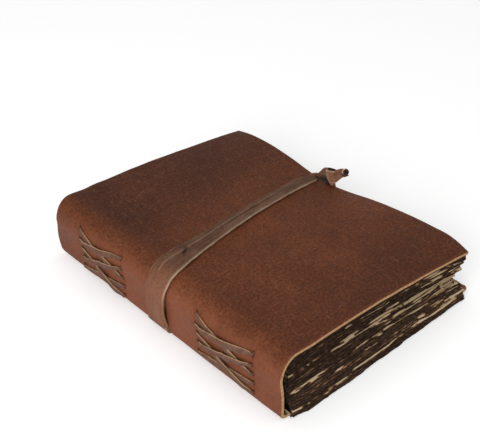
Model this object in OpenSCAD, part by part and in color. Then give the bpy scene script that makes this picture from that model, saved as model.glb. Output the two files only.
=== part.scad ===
// Hand-laced leather journal with rough-edged pages, lying closed on its back
// cover, its wrap strap tied at the fore edge. The covers and the spine are one
// hide, divided here at the two folds where the covers open.
// X runs from the spine to the fore edge, Y from the near end to the far end,
// Z up from the table. The origin is the middle of the closed journal's underside.
// All lengths are millimetres.

/* [Cover] */
// Length of the cover along the spine
cover_len = 203; // [180:1:300]
// Width of the front cover, from the spine to its fore edge
cover_w = 158; // [120:1:220]
// Thickness of the closed journal at the spine shoulder
spine_h = 41.5; // [36:0.5:60]
// Thickness at the fore edge, where the cover stands highest
fore_h = 36.8; // [30:0.2:56]
// Thickness of the leather
leather_t = 2; // [1.4:0.1:3]
// How far the back cover reaches past the front one
back_reach = 1.5; // [0:0.5:6]
// How much further the back cover's near corner reaches
corner_reach = 4.5; // [0:0.5:6]
// How far the back cover's near end is cut back under the pages
near_cut = 1.8; // [0:0.1:3]

/* [Shoulders] */
// Width of the rounded shoulder under the front cover
shoulder_w = 12; // [8:0.5:18]
// Height of the rounded shoulder
shoulder_d = 14.5; // [9:0.5:18]
// Radius of the tighter fold at the foot of the spine
foot_r = 4.4; // [3.6:0.1:6]
// How far the foot of the spine sets in behind the shoulder
spine_lean = 1.6; // [0:0.1:4]
// Hollow of the spine between shoulder and foot
spine_waist = 0.6; // [0:0.1:1.5]
// Flat leather left on the spine before each cover's fold line
fold_margin = 2; // [1:0.5:6]

/* [Drape] */
// Where the cover starts to bend down, measured from the spine
drape_from = 60; // [30:1:90]
// Sag of the near corner of the front cover
near_droop = 5; // [0:0.1:8]
// How far from the near end that corner starts to sag
near_reach = 22; // [10:1:50]
// Sag of the far corner of the front cover
far_droop = 2.8; // [0:0.1:8]
// Length of each sagging corner along the fore edge
droop_reach = 32; // [15:1:50]
// Depth to which the strap pulls the fore edge down
strap_dip = 7.8; // [0:0.1:12]
// Half length of the hollow that the strap pulls
dip_reach = 39; // [20:1:60]
// Place of that hollow along the fore edge, from the middle
dip_y = 11; // [-10:0.5:20]

/* [Pages] */
// Number of folded gatherings of paper
signatures = 5; // [3:1:7]
// Bundles of leaves that show in the edge of each gathering
bundles = 3; // [2:1:4]
// Distance of the middle of the torn edges from the front cover's fore edge
page_fore_inset = 3; // [2:0.5:12]
// Distance of the middle of the torn edges from the cover's two ends
page_end_inset = 1.6; // [1:0.1:8]
// Depth of the torn, wavy page edges
deckle = 1.5; // [0:0.1:2]
// Depth of the valleys between the folded backs of the gatherings
fold_valley = 2.4; // [0.5:0.1:4]
// How far the lowest leaves spread out beyond the near end
page_flare = 5.4; // [0:0.1:6]
// Clearance between the paper and the leather
page_gap = 0.35; // [0.2:0.05:0.8]

/* [Lacing] */
// Width of the lacing thong
thong_w = 4; // [2:0.1:5]
// Thickness of the lacing thong
thong_t = 1.1; // [0.8:0.1:1.6]
// Distance of the inner slit rows from the middle of the spine
slit_in = 33.7; // [26:0.5:40]
// Distance of the outer slit rows from the middle of the spine
slit_out = 78.4; // [65:0.5:86]
// Height of the lowest slit
slit_low = 4.9; // [4.5:0.1:6]
// Height of the highest slit below the top of the shoulder
slit_drop = 6.7; // [5:0.1:10]
// Clearance round the thong in its slits and beside the spine
thong_gap = 0.2; // [0.1:0.05:0.4]
// Depth of the inner stitches behind the back of a gathering
stitch_depth = 3.5; // [2.5:0.1:6]

/* [Strap] */
// Width of the strap over the spine
strap_w = 17.6; // [12:0.5:24]
// Width of the strap where it nears the knot
strap_neck_w = 9.4; // [6:0.2:12]
// How much the strap draws together before the knot
strap_gather = 2.6; // [0:0.1:4]
// Thickness of the strap
strap_t = 1.8; // [1.2:0.1:2.4]
// Clearance between the strap and the cover
strap_gap = 0.2; // [0.1:0.05:0.5]
// How far the strap stands off the middle of the spine
strap_slack = 1.2; // [0:0.1:3]
// Height of the folded-over far border of the strap
strap_welt = 0.7; // [0:0.1:1.2]
// Place of the strap along the spine, from the middle
strap_y = -0.8; // [-12:0.2:12]
// Sideways drift of the strap from the spine to the fore edge
strap_drift = 24; // [0:0.5:26]

/* [Knot] */
// Place of the knot's point along the fore edge, from the middle
knot_y = 5.5; // [4:0.1:16]
// Height of the loop that stands over the edge
loop_height = 12.4; // [8:0.2:16]
// Half width of the loop's open mouth
loop_half = 4.2; // [3:0.1:6]
// Diameter of the rolled end
roll_d = 5.8; // [4:0.1:8]
// Length of the rolled end
roll_len = 6.5; // [4:0.1:10]
// Depth of the hollow in the rolled end
roll_hollow = 3; // [1:0.1:5]

/* [Hidden] */

half_len = cover_len / 2;
// Fold lines: the front cover opens about the first, the back cover about the second
front_fold_x = shoulder_w + fold_margin;
back_fold_x = spine_lean + foot_r + fold_margin;
fold_gap = 0.1;
shoulder_z = spine_h - shoulder_d;
strap_rise = strap_t + strap_gap;
back_w = cover_w + back_reach;
// Steps of the curves and of the cover's mesh
arc_steps = 12;
wall_steps = 8;
foot_steps = 6;
cover_steps = 15;
side_steps = 9;
// Share of the fall from spine to fore edge that is straight, the rest is bowed
straight_share = 0.35;
drape_power = 1.7;

function mix(a, b, t) = a + (b - a) * t;
function clamp01(t) = max(0, min(1, t));
function smooth(t) = let (c = clamp01(t)) c * c * (3 - 2 * c);
function unit(v) = v / norm(v);

// Height of the front cover's outer face: a bowed fall from the shoulder to the
// fore edge, less the sag of both corners and the hollow pulled by the strap
function cover_fall(x) =
    let (t = max(0, x - shoulder_w) / (cover_w - shoulder_w))
    (spine_h - fore_h) * (straight_share * t + (1 - straight_share) * t * t);
function edge_sag(y) =
    near_droop * pow(clamp01((-y - half_len + near_reach) / near_reach), 2)
    + far_droop * pow(clamp01((y - half_len + droop_reach) / droop_reach), 2)
    + strap_dip * exp(-pow((y - dip_y) / dip_reach, 2));
function top_z(x, y) =
    spine_h - cover_fall(x)
    - edge_sag(y) * pow(clamp01((x - drape_from) / (cover_w - drape_from)), drape_power);

// Place of the spine's outer face at height z: elliptical shoulder, leaning and
// slightly hollow wall, round foot
function spine_x(z) =
    z >= shoulder_z
        ? shoulder_w * (1 - sqrt(max(0, 1 - pow((z - shoulder_z) / shoulder_d, 2))))
    : z >= foot_r ? wall_x((shoulder_z - z) / (shoulder_z - foot_r))
    : spine_lean + foot_r - sqrt(max(0, foot_r * foot_r - pow(foot_r - z, 2)));
function wall_x(t) = spine_lean * t + spine_waist * sin(180 * t);
// The same for the spine's inner face
function lining_x(z) =
    let (w = shoulder_w - leather_t, d = shoulder_d - leather_t, r = foot_r - leather_t)
    z >= shoulder_z
        ? leather_t + w * (1 - sqrt(max(0, 1 - pow((z - shoulder_z) / d, 2))))
    : z >= foot_r ? leather_t + wall_x((shoulder_z - z) / (shoulder_z - foot_r))
    : spine_lean + foot_r - sqrt(max(0, r * r - pow(foot_r - z, 2)));

// Section of the spine in X and Z, moved inwards by off, its foot lifted by rise
function spine_line(off, rise) = concat(
    [[front_fold_x - fold_gap / 2, top_z(front_fold_x, 0) - off]],
    [for (i = [0 : arc_steps])
        let (a = 90 - 90 * i / arc_steps)
        [shoulder_w - (shoulder_w - off) * cos(a), shoulder_z + (shoulder_d - off) * sin(a)]],
    [for (i = [1 : wall_steps - 1])
        let (t = i / wall_steps)
        [off + wall_x(t), mix(shoulder_z, foot_r + rise, t)]],
    [for (i = [0 : foot_steps])
        let (a = 90 * i / foot_steps)
        [spine_lean + foot_r - (foot_r - off) * cos(a), foot_r + rise - (foot_r - off) * sin(a)]],
    [[back_fold_x - fold_gap / 2, off + rise]]);
function reversed(list) = [for (i = [len(list) - 1 : -1 : 0]) list[i]];

// Moves a piece from the spine's outermost plane to the journal's middle
module placed() {
    translate([-cover_w / 2, 0, 0]) children();
}

module along_y(y0, y1) {
    translate([0, y1, 0]) rotate([90, 0, 0]) linear_extrude(y1 - y0) children();
}

// Closed solid from rings of equally many points. The first half of a ring is one
// side and the second half the other, so its end caps are ladders of quads
module skin(rings) {
    n = len(rings[0]);
    last = len(rings) - 1;
    rungs = [0 : n / 2 - 2];
    polyhedron(
        points = [for (r = rings) each r],
        faces = concat(
            [for (i = rungs) [i, i + 1, n - 2 - i, n - 1 - i]],
            [for (k = [0 : last - 1], i = [0 : n - 1])
                [k * n + i, (k + 1) * n + i, (k + 1) * n + (i + 1) % n]],
            [for (k = [0 : last - 1], i = [0 : n - 1])
                [k * n + i, (k + 1) * n + (i + 1) % n, k * n + (i + 1) % n]],
            [for (i = rungs) [for (j = [n - 1 - i, n - 2 - i, i + 1, i]) last * n + j]]));
}

// Stations along Y, shared by the cover and the pages, with a step on each side
// of the groove that lets the strap pass under the journal
groove_half = strap_w / 2 + strap_gap + leather_t + page_gap;
groove_ramp = 2;
function stations_y(half) = concat(
    [for (i = [0 : side_steps - 1]) mix(-half, strap_y - groove_half - groove_ramp, i / side_steps)],
    [strap_y - groove_half - groove_ramp, strap_y - groove_half,
     strap_y, strap_y + groove_half, strap_y + groove_half + groove_ramp],
    [for (i = [1 : side_steps]) mix(strap_y + groove_half + groove_ramp, half, i / side_steps)]);

module front_cover() {
    ys = stations_y(half_len);
    color([0.37, 0.20, 0.15]) placed()
    skin([for (i = [0 : cover_steps])
        let (x = mix(front_fold_x + fold_gap / 2, cover_w, i / cover_steps))
        concat([for (y = ys) [x, y, top_z(x, y) - leather_t]],
               [for (y = reversed(ys)) [x, y, top_z(x, y)]])]);
}

module spine() {
    lift_half = strap_w / 2 + strap_gap;
    wall_half = lift_half + leather_t;
    color([0.50, 0.30, 0.22]) placed()
    difference() {
        union() {
            for (side = [[-half_len, strap_y - lift_half], [strap_y + lift_half, half_len]])
                along_y(side[0], side[1])
                    polygon(concat(spine_line(0, 0), reversed(spine_line(leather_t, 0))));
            along_y(strap_y - wall_half, strap_y + wall_half)
                polygon(concat(spine_line(0, strap_rise), reversed(spine_line(leather_t, strap_rise))));
            for (side = [-1, 1])
                along_y(strap_y + side * (lift_half + leather_t / 2) - leather_t / 2,
                        strap_y + side * (lift_half + leather_t / 2) + leather_t / 2)
                    polygon(concat(spine_line(0, 0), reversed(spine_line(leather_t, strap_rise))));
        }
        for (g = [0, 1], row = [0, 1], k = [0 : signatures - 1])
            translate([-shoulder_w / 2, slit_y(g, row), slit_z(k)])
                translate([0, -thong_t / 2 - thong_gap, -thong_w / 2 - thong_gap])
                    cube([shoulder_w * 1.5, thong_t + 2 * thong_gap, thong_w + 2 * thong_gap]);
    }
}

// Outline of the back cover from above. Its near end is cut back a little behind
// the fold, and its near corner reaches out past the pages
function back_outline(x0) = [
    [x0, -half_len], [x0 + 7, -half_len], [x0 + 16, -half_len + near_cut],
    [back_w - 30, -half_len + near_cut], [back_w + corner_reach * 0.7, -half_len],
    [back_w + corner_reach, -half_len + 1.2], [back_w + corner_reach - 0.8, -half_len + 8],
    [back_w + corner_reach * 0.35, -half_len + 24], [back_w, -half_len + 44],
    [back_w, half_len], [x0, half_len]];
// The back cover is flat, and lifts over the strap that runs beneath it
module back_cover() {
    x0 = back_fold_x + fold_gap / 2;
    a = strap_w / 2 + strap_gap;
    b = a + leather_t;
    color([0.40, 0.22, 0.16]) placed()
    intersection() {
        translate([0, 0, -1]) linear_extrude(strap_rise + leather_t + 2)
            polygon(back_outline(x0));
        translate([x0 - 1, 0, 0]) rotate([90, 0, 90]) linear_extrude(back_w + corner_reach + 2 - x0)
        polygon([[-half_len, 0], [strap_y - a, 0], [strap_y - a, strap_rise],
                 [strap_y + a, strap_rise], [strap_y + a, 0], [half_len, 0],
                 [half_len, leather_t], [strap_y + b, leather_t],
                 [strap_y + b, strap_rise + leather_t], [strap_y - b, strap_rise + leather_t],
                 [strap_y - b, leather_t], [-half_len, leather_t]]);
    }
}

// Slits of the lacing: two groups along the spine, each with a far and a near row,
// and one slit for each gathering in a row, counted from the top
function slit_y(group, row) =
    group == 0 ? (row == 0 ? slit_out : slit_in) : (row == 0 ? -slit_in : -slit_out);
function slit_z(k) = mix(spine_h - slit_drop, slit_low, k / (signatures - 1));

// Pages: rings round the block, one above the other. Each bundle of leaves has
// its own wavy outline, and the back of each gathering is rounded
page_steps = 15;
page_low = leather_t + page_gap;
page_left_top = spine_h - leather_t - page_gap;
bundle_count = signatures * bundles;
function groove(y) =
    strap_rise * smooth((groove_half + groove_ramp - abs(y - strap_y)) / groove_ramp);
// Boundaries between gatherings lie halfway between their slits
function gathering_z(k) =
    k <= 0 ? page_low : k >= signatures ? page_left_top
    : (slit_z(signatures - k) + slit_z(signatures - k - 1)) / 2;
function level_share(k, t) =
    (mix(gathering_z(k), gathering_z(k + 1), t) - page_low) / (page_left_top - page_low);
// Torn edge of bundle b at place u: a few waves whose phases depend on the bundle
wave_phase = rands(0, 360, 80, 11);
wave_size = rands(-1, 1, 80, 23);
function torn(b, u) = deckle * (
    0.55 * wave_size[b % 80]
    + 0.28 * sin(3.1 * u + wave_phase[b % 80])
    + 0.22 * sin(7.3 * u + wave_phase[(b + 29) % 80])
    + 0.16 * sin(13.7 * u + wave_phase[(b + 53) % 80]));
// The lower half of the leaves spreads out at the near end, most at the bottom
function flare(s, x) =
    page_flare * pow(clamp01(1 - s / 0.55), 1.6) * mix(0.35, 1, smooth((x - 4) / 25));
function page_z(x, y, s) =
    let (low = page_low + groove(y), high = top_z(x, y) - leather_t - page_gap)
    mix(low, high, s);
// Left end of a ring at share s of the height: inside the spine, with a valley
// where two gatherings meet
function page_left(s, t) =
    let (z = mix(page_low, page_left_top, s), v = 2 * t - 1)
    lining_x(z) + page_gap + fold_valley * (1 - sqrt(max(0, 1 - 0.94 * v * v)));
// One ring: near end, fore edge, far end and back, for bundle b at share s
function page_ring(b, s, t) =
    let (x0 = page_left(s, t), x1 = cover_w - page_fore_inset,
         y1 = half_len - page_end_inset, ys = stations_y(y1), ny = len(ys) - 1)
    concat(
        [for (i = [0 : page_steps - 1])
            let (x = mix(x0, x1, i / page_steps),
                 near = -y1 - flare(s, x) - torn(b, x) * min(1, 0.3 + i / 4))
            [x, near, page_z(x, near, s)]],
        [for (j = [0 : ny - 1])
            let (x = x1 + torn(b + 7, ys[j] + 400),
                 y = ys[j] - (j == 0 ? torn(b, x1) + flare(s, x1) : 0))
            [x, y, page_z(x, y, s)]],
        [for (i = [0 : page_steps - 1])
            let (x = mix(x1, x0, i / page_steps), far = y1 + torn(b + 17, x + 900) * min(1, 0.3 + (page_steps - i) / 4))
            [x, far, page_z(x, far, s)]],
        [for (j = [ny : -1 : 1])
            let (y = ys[j])
            [x0, y, page_z(x0, y, s)]]);
// Inner points of the flat top and bottom faces, a grid between the ring's sides
function page_face(b, s, t) =
    let (x0 = page_left(s, t), x1 = cover_w - page_fore_inset,
         y1 = half_len - page_end_inset, ys = stations_y(y1), ny = len(ys) - 1)
    [for (i = [1 : page_steps - 1], j = [1 : ny - 1])
        let (x = mix(x0, x1, i / page_steps)) [x, ys[j], page_z(x, ys[j], s)]];

module page_solid() {
    ny = len(stations_y(half_len)) - 1;
    per = 2 * (page_steps + ny);
    inner = (page_steps - 1) * (ny - 1);
    rings = [for (k = [0 : signatures - 1], m = [0 : bundles - 1], e = [0.06, 0.94])
        let (t = (m + e) / bundles,
             s = (k == 0 && m == 0 && e < 0.5) ? 0
               : (k == signatures - 1 && m == bundles - 1 && e > 0.5) ? 1
               : level_share(k, t))
        [k * bundles + m, s, t]];
    count = len(rings);
    points = concat(
        [for (r = rings) each page_ring(r[0], r[1], r[2])],
        page_face(0, 0, rings[0][2]),
        page_face(bundle_count - 1, 1, rings[count - 1][2]));
    // Number of the grid point i, j on the face that starts at ring r and has
    // its inner points from number first
    function grid_id(i, j, r, first) =
        j == 0 ? r * per + i
        : i == page_steps ? r * per + page_steps + j
        : j == ny ? r * per + page_steps + ny + (page_steps - i)
        : i == 0 ? r * per + 2 * page_steps + ny + (ny - j)
        : first + (i - 1) * (ny - 1) + (j - 1);
    faces = concat(
        [for (r = [0 : count - 2], i = [0 : per - 1])
            [r * per + i, (r + 1) * per + i, (r + 1) * per + (i + 1) % per]],
        [for (r = [0 : count - 2], i = [0 : per - 1])
            [r * per + i, (r + 1) * per + (i + 1) % per, r * per + (i + 1) % per]],
        [for (i = [0 : page_steps - 1], j = [0 : ny - 1], h = [0, 1])
            let (f = count * per,
                 a = grid_id(i, j, 0, f), b = grid_id(i + 1, j, 0, f),
                 c = grid_id(i + 1, j + 1, 0, f), d = grid_id(i, j + 1, 0, f))
            h == 0 ? [a, b, c] : [a, c, d]],
        [for (i = [0 : page_steps - 1], j = [0 : ny - 1], h = [0, 1])
            let (f = count * per + inner, r = count - 1,
                 a = grid_id(i, j, r, f), b = grid_id(i + 1, j, r, f),
                 c = grid_id(i + 1, j + 1, r, f), d = grid_id(i, j + 1, r, f))
            h == 0 ? [a, c, b] : [a, d, c]]);
    polyhedron(points = points, faces = faces);
}

// Depth of the thong's inner run at slit height z
function stitch_x(z) = lining_x(z) + page_gap + stitch_depth;

// Room for one inner stitch: down through the fold, along it and out again
module stitch_tunnel(group, k) {
    z = slit_z(k);
    y0 = slit_y(group, 1);
    y1 = slit_y(group, 0);
    h = thong_t / 2 + thong_gap;
    bottom = stitch_x(z) + h;
    mouth = lining_x(z) - 1;
    translate([0, 0, z - thong_w / 2 - thong_gap])
        linear_extrude(thong_w + 2 * thong_gap)
            polygon([[mouth, y0 - h], [bottom, y0 - h], [bottom, y1 + h], [mouth, y1 + h],
                     [mouth, y1 - h], [bottom - 2 * h, y1 - h], [bottom - 2 * h, y0 + h],
                     [mouth, y0 + h]]);
}

module page_block() {
    color([0.79, 0.68, 0.48]) placed()
    difference() {
        page_solid();
        for (g = [0, 1], k = [0 : signatures - 1]) stitch_tunnel(g, k);
    }
}

// Lacing: one closed thong in each group. Its outer run from near slit k goes to
// far slit far_slit(k), then the inner stitch brings it back to the near row
function far_slit(k) =
    k == 0 ? 1
    : k % 2 == 0 ? k - 2
    : k + 2 < signatures ? k + 2
    : k == signatures - 1 ? signatures - 2 : signatures - 1;
function circuit(k, left) = left == 0 ? [] : concat([k], circuit(far_slit(k), left - 1));
// Where two runs cross, the one of higher rank lies on the other
function run_rank(k) = k == 0 ? 2 : k % 2 == 0 ? 1 : k + 2 < signatures ? 2 : 0;
function run_z(k, t) = mix(slit_z(k), slit_z(far_slit(k)), t);
cross_reach = 4.3;
cross_ramp = 2.4;
function run_lift(k, t) =
    smooth(t / 0.1) * smooth((1 - t) / 0.1)
    * max([for (j = [0 : signatures - 1])
        run_rank(j) < run_rank(k)
            ? smooth(1 - (abs(run_z(k, t) - run_z(j, t)) - cross_reach) / cross_ramp) : 0]);
run_steps = 14;
bend_r = 0.85;
function surface_tilt(z) = (spine_x(z + 0.5) - spine_x(z - 0.5));
function station(p, w, n) = [
    p - w * thong_w / 2 + n * thong_t / 2, p + w * thong_w / 2 + n * thong_t / 2,
    p + w * thong_w / 2 - n * thong_t / 2, p - w * thong_w / 2 - n * thong_t / 2];
// Bends through one slit, from the inner run to the outer one. The runs leave
// the slit towards side, which is 1 for the near row and -1 for the far row
function slit_bends(y, z, side) =
    let (xi = stitch_x(z), xo = spine_x(z) - thong_gap - thong_t / 2, s = surface_tilt(z),
         out = unit([-1, 0, s]), up = unit([s, 0, 1]))
    concat(
        [for (a = [0, 45, 90])
            station([xi - bend_r + bend_r * cos(a), y + side * bend_r * (1 - sin(a)), z],
                    [0, 0, 1], [cos(a), -side * sin(a), 0])],
        [for (b = [0, 45, 90])
            let (t = b / 90)
            station([xo + bend_r - bend_r * sin(b), y + side * bend_r * (1 - cos(b)), z],
                    unit(mix([0, 0, 1], up, t)),
                    unit(mix([0, -side * cos(b), 0], out, sin(b))))]);
// Outer run of near slit k, from the near row at ya to the far row at yb
function outer_run(k, ya, yb) =
    let (slope = unit([0, yb - ya, slit_z(far_slit(k)) - slit_z(k)]))
    [for (i = [1 : run_steps])
        let (t = i / (run_steps + 1), z = run_z(k, t),
             lift = (thong_t + thong_gap) * run_lift(k, t),
             s = surface_tilt(z), out = unit([-1, 0, s]), up = unit([s, 0, 1]))
        station([spine_x(z), mix(ya + bend_r, yb - bend_r, t), z]
                    + out * (thong_gap + thong_t / 2 + lift),
                unit(up * slope[1] - [0, slope[2], 0]), out)];

module lacing(group) {
    yn = slit_y(group, 1);
    yf = slit_y(group, 0);
    rings = [for (k = circuit(0, signatures))
        each concat(slit_bends(yn, slit_z(k), 1), outer_run(k, yn, yf),
                    reversed(slit_bends(yf, slit_z(far_slit(k)), -1)))];
    count = len(rings);
    polyhedron(
        points = [for (r = rings) each r],
        faces = [for (k = [0 : count - 1], i = [0 : 3], h = [0, 1])
            let (a = k * 4 + i, b = ((k + 1) % count) * 4 + i,
                 c = ((k + 1) % count) * 4 + (i + 1) % 4, d = k * 4 + (i + 1) % 4)
            h == 0 ? [a, b, c] : [a, c, d]]);
}
module lacing_far() {
    color([0.43, 0.35, 0.29]) placed() lacing(0);
}
module lacing_near() {
    color([0.43, 0.35, 0.29]) placed() lacing(1);
}

// Strap over the front: its middle line drifts sideways and its width tapers
front_steps = 20;
function gather(x) = strap_gather * smooth((x - cover_w + 20) / 15);
function strap_mid(x) =
    strap_y + strap_drift * pow(max(0, x - front_fold_x) / (cover_w - front_fold_x), 1.12)
    - gather(x) / 2;
function strap_width(x) =
    strap_neck_w + (strap_w - strap_neck_w) * exp(-(x - front_fold_x) / 28) - gather(x);
function welt(x) = strap_welt * smooth((x - front_fold_x) / 12) * smooth((cover_w * 0.75 - x) / 30);
// Section of the strap across its run, with the folded border on its far side
function strap_ring(x, mid, width, base) =
    let (y0 = mid - width / 2, y1 = mid + width / 2, ym = mix(y0, y1, 0.60), yw = mix(y0, y1, 0.66),
         w = welt(x))
    [[x, y0, base(y0)], [x, ym, base(ym)], [x, yw, base(yw)], [x, y1, base(y1)],
     [x, y1, base(y1) + strap_t + w], [x, yw, base(yw) + strap_t + w],
     [x, ym, base(ym) + strap_t], [x, y0, base(y0) + strap_t]];

module front_run() {
    neck_x = cover_w - 5;
    skin([for (i = [0 : front_steps])
        let (x = mix(front_fold_x + fold_gap / 2, neck_x, i / front_steps))
        strap_ring(x, strap_mid(x), strap_width(x), function(y) top_z(x, y) + strap_gap)]);
}

// Four corners of a bent strip at p: half width along side, half thickness square
// to the side and to the run
function strip_ring(p, side, up) = [p - side - up, p + side - up, p + side + up, p - side + up];
function run_ring(p, run, side, half_w, half_t) =
    strip_ring(p, unit(side) * half_w, unit(cross(run, side)) * half_t);
function oval_ring(p, a, b, count) =
    [for (i = [0 : count - 1]) p + a * cos(360 * i / count) + b * sin(360 * i / count)];

// The knot stands over the fore edge on its point. Its loop leans outwards, so its
// parts are placed by distances along the loop, up the loop and behind it
knot_inset = 3.1;
knot_foot = 0.85;
loop_side = [0.7394, -0.6733, 0];
loop_up = [0.3744, 0.4112, 0.8312];
loop_back = [0.5596, 0.6145, -0.5561];
function knot_at(along, up, back) =
    let (x = cover_w - knot_inset)
    [x, knot_y, top_z(x, knot_y) + strap_gap + knot_foot]
    + along * loop_side + up * loop_up + back * loop_back;

// Gathered neck: the strap's end drawn together, turned up and spread into a fin
// that leans on the loop
module knot_neck() {
    x0 = cover_w - 5.4;
    x1 = cover_w - 2.8;
    y0 = strap_mid(x0);
    half = strap_width(x0) * 0.48;
    fin = knot_at(-4.0, loop_height * 0.65, 2.4) - knot_at(-8.4, loop_height * 0.5, 4.6);
    skin([
        strip_ring([x0, y0, top_z(x0, y0) + strap_gap + strap_t / 2],
                   [0, half, top_z(x0, y0 + half) - top_z(x0, y0)], [0, 0, strap_t / 2]),
        strip_ring([x1, y0 - 0.3, top_z(x1, y0) + strap_gap + 1.8], [0.3, 2.5, 0.8], [-0.3, 0, 1.1]),
        run_ring(knot_at(-8.4, loop_height * 0.5, 4.6), fin, loop_up, 2.1, 0.9),
        run_ring(knot_at(-4.0, loop_height * 0.65, 2.4), fin, loop_up, 4.1, 0.8)]);
}

// Loop: a folded leaf of leather like a cup, its point on the cover's edge and its
// mouth lower at the front than behind
function loop_ring(v, back, wide, deep) =
    oval_ring(knot_at(v[0], v[1] * loop_height, back),
              wide * (loop_side - loop_up * 0.16 * v[1]),
              deep * (loop_back + loop_up * 0.5 * v[1]), 12);
module knot_loop() {
    wall = 1.1;
    difference() {
        skin([for (v = [[0, 0, 0.7, 0.6], [0, 0.11, 1.7, 1.0], [0.1, 0.26, 2.8, 1.4],
                        [-0.4, 0.5, 3.9, 2.0], [-0.8, 0.74, loop_half, 2.5],
                        [-0.9, 0.89, loop_half, 2.6]])
            loop_ring(v, v[3], v[2], v[3])]);
        skin([for (v = [[-0.2, 0.48, 2.2, 0.7, 2.0], [-0.8, 0.74, loop_half - wall, 1.4, 2.5],
                        [-1.0, 1.15, loop_half - wall, 1.5, 2.6]])
            loop_ring(v, v[4], v[2], v[3])]);
    }
}

// Wing from the loop to the rolled end, and the rolled end with its hollow
module knot_roll() {
    skin([for (v = [[0.6, 0.43, 3.4], [2.2, 0.50, 4.1], [4.0, 0.58, 3.8], [6.0, 0.66, 3.3], [8.0, 0.71, 2.5]])
        run_ring(knot_at(v[0], v[1] * loop_height, 1.2), loop_side, loop_up, v[2], 0.8)]);
    toward = unit([-0.42, -0.70, 0.58]);
    translate(knot_at(8.8, loop_height * 0.72, -1.2))
        rotate([0, acos(toward[2]), atan2(toward[1], toward[0])])
            difference() {
                translate([0, 0, -roll_len]) cylinder(h = roll_len, d = roll_d, $fn = 24);
                translate([0, 0, -roll_hollow])
                    cylinder(h = roll_hollow + 1, d = roll_d - 2, $fn = 24);
            }
}

// Root of the strap, up along the page edges from beneath the journal, its end
// held in the loop
module knot_root() {
    top = knot_at(-3.6, loop_height * 0.28, 2.8);
    x0 = back_w + turn_r + strap_t / 2;
    x1 = max(top[0], cover_w + 0.5) + strap_t / 2;
    skin(concat(
        [for (i = [0 : 6])
            let (s = i / 6)
            strip_ring([mix(x0, x1, smooth(s)), mix(strap_y + 2, top[1], smooth(s)),
                        mix(root_z, top[2], s)],
                       [0, mix(under_end_w, 5.6, smooth(s)) / 2, 0], [-strap_t / 2, 0, 0])],
        [strip_ring(knot_at(-2.4, loop_height * 0.55, 2.8), [0, 2, 0], [-strap_t / 2, 0, 0])]));
}

module strap_front() {
    color([0.45, 0.33, 0.26]) placed()
    union() {
        front_run();
        knot_neck();
        knot_loop();
        knot_roll();
        knot_root();
    }
}

// Strap down the spine: outer and inner points of its middle line
spine_mid_shift = -2;
function spine_strap() = concat(
    [let (x = front_fold_x - fold_gap / 2, z = top_z(front_fold_x, 0) + strap_gap)
        [[x, z + strap_t], [x, z], 0]],
    [for (i = [1 : arc_steps - 1])
        let (a = 90 - 90 * i / arc_steps, g = strap_gap, u = strap_gap + strap_t)
        [[shoulder_w - (shoulder_w + u) * cos(a), shoulder_z + (shoulder_d + u) * sin(a)],
         [shoulder_w - (shoulder_w + g) * cos(a), shoulder_z + (shoulder_d + g) * sin(a)],
         spine_mid_shift * sin(180 * i / arc_steps)]],
    [for (i = [0 : wall_steps - 1])
        let (t = i / wall_steps, z = mix(shoulder_z, foot_r + strap_rise, t),
             x = wall_x(t) - strap_gap - strap_slack * sin(180 * t))
        [[x - strap_t, z], [x, z], 0]],
    [for (i = [0 : foot_steps])
        let (a = 90 * i / foot_steps, r = foot_r + strap_gap, cx = spine_lean + foot_r,
             cz = foot_r + strap_rise)
        [[cx - (r + strap_t) * cos(a), cz - (r + strap_t) * sin(a)],
         [cx - r * cos(a), cz - r * sin(a)], 0]],
    [[[back_fold_x - fold_gap / 2, 0], [back_fold_x - fold_gap / 2, strap_t], 0]]);

module strap_spine() {
    color([0.45, 0.33, 0.26]) placed()
    skin([for (s = spine_strap())
        let (y0 = strap_y + s[2] - strap_w / 2, y1 = strap_y + s[2] + strap_w / 2)
        [[s[1][0], y1, s[1][1]], [s[1][0], y0, s[1][1]],
         [s[0][0], y0, s[0][1]], [s[0][0], y1, s[0][1]]]]);
}

// Strap under the journal, flush with the table, its end turned up at the fore edge
under_end_w = 12;
turn_r = 0.4;
root_gap = 0.3;
root_z = strap_t + turn_r + 2.4;
module strap_under() {
    x0 = back_fold_x + fold_gap / 2;
    x1 = back_w;
    far_x = x1 + turn_r + strap_t;
    color([0.45, 0.33, 0.26]) placed()
    intersection() {
        along_y(-cover_len / 2, cover_len / 2)
            polygon(concat(
                [[x0, strap_t], [x0, 0]],
                [for (a = [-90 : 15 : 0])
                    [x1 + (turn_r + strap_t) * cos(a), (turn_r + strap_t) * (1 + sin(a))]],
                [[far_x, root_z - root_gap], [x1 + turn_r, root_z - root_gap]],
                [for (a = [0 : -30 : -90])
                    [x1 + turn_r * cos(a), turn_r + strap_t + turn_r * sin(a)]]));
        translate([0, 0, -1]) linear_extrude(root_z + 2)
            polygon([[x0, strap_y - strap_w / 2], [x1, strap_y + 2 - under_end_w / 2],
                     [far_x + 1, strap_y + 2 - under_end_w / 2],
                     [far_x + 1, strap_y + 2 + under_end_w / 2],
                     [x1, strap_y + 2 + under_end_w / 2], [x0, strap_y + strap_w / 2]]);
    }
}

front_cover();
spine();
back_cover();
page_block();
lacing_far();
lacing_near();
strap_front();
strap_spine();
strap_under();
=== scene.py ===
"""Looks of a hand-laced leather journal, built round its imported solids.

Shapes are worked out in millimetres with X from the spine's outermost plane to
the fore edge, Y from the near end to the far end and Z up from the table. The
last step of every piece moves X to the journal's middle and scales to metres.
"""

import logging
from dataclasses import dataclass, field
from enum import IntEnum

import bpy
import numpy as np
from mathutils import Matrix


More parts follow.
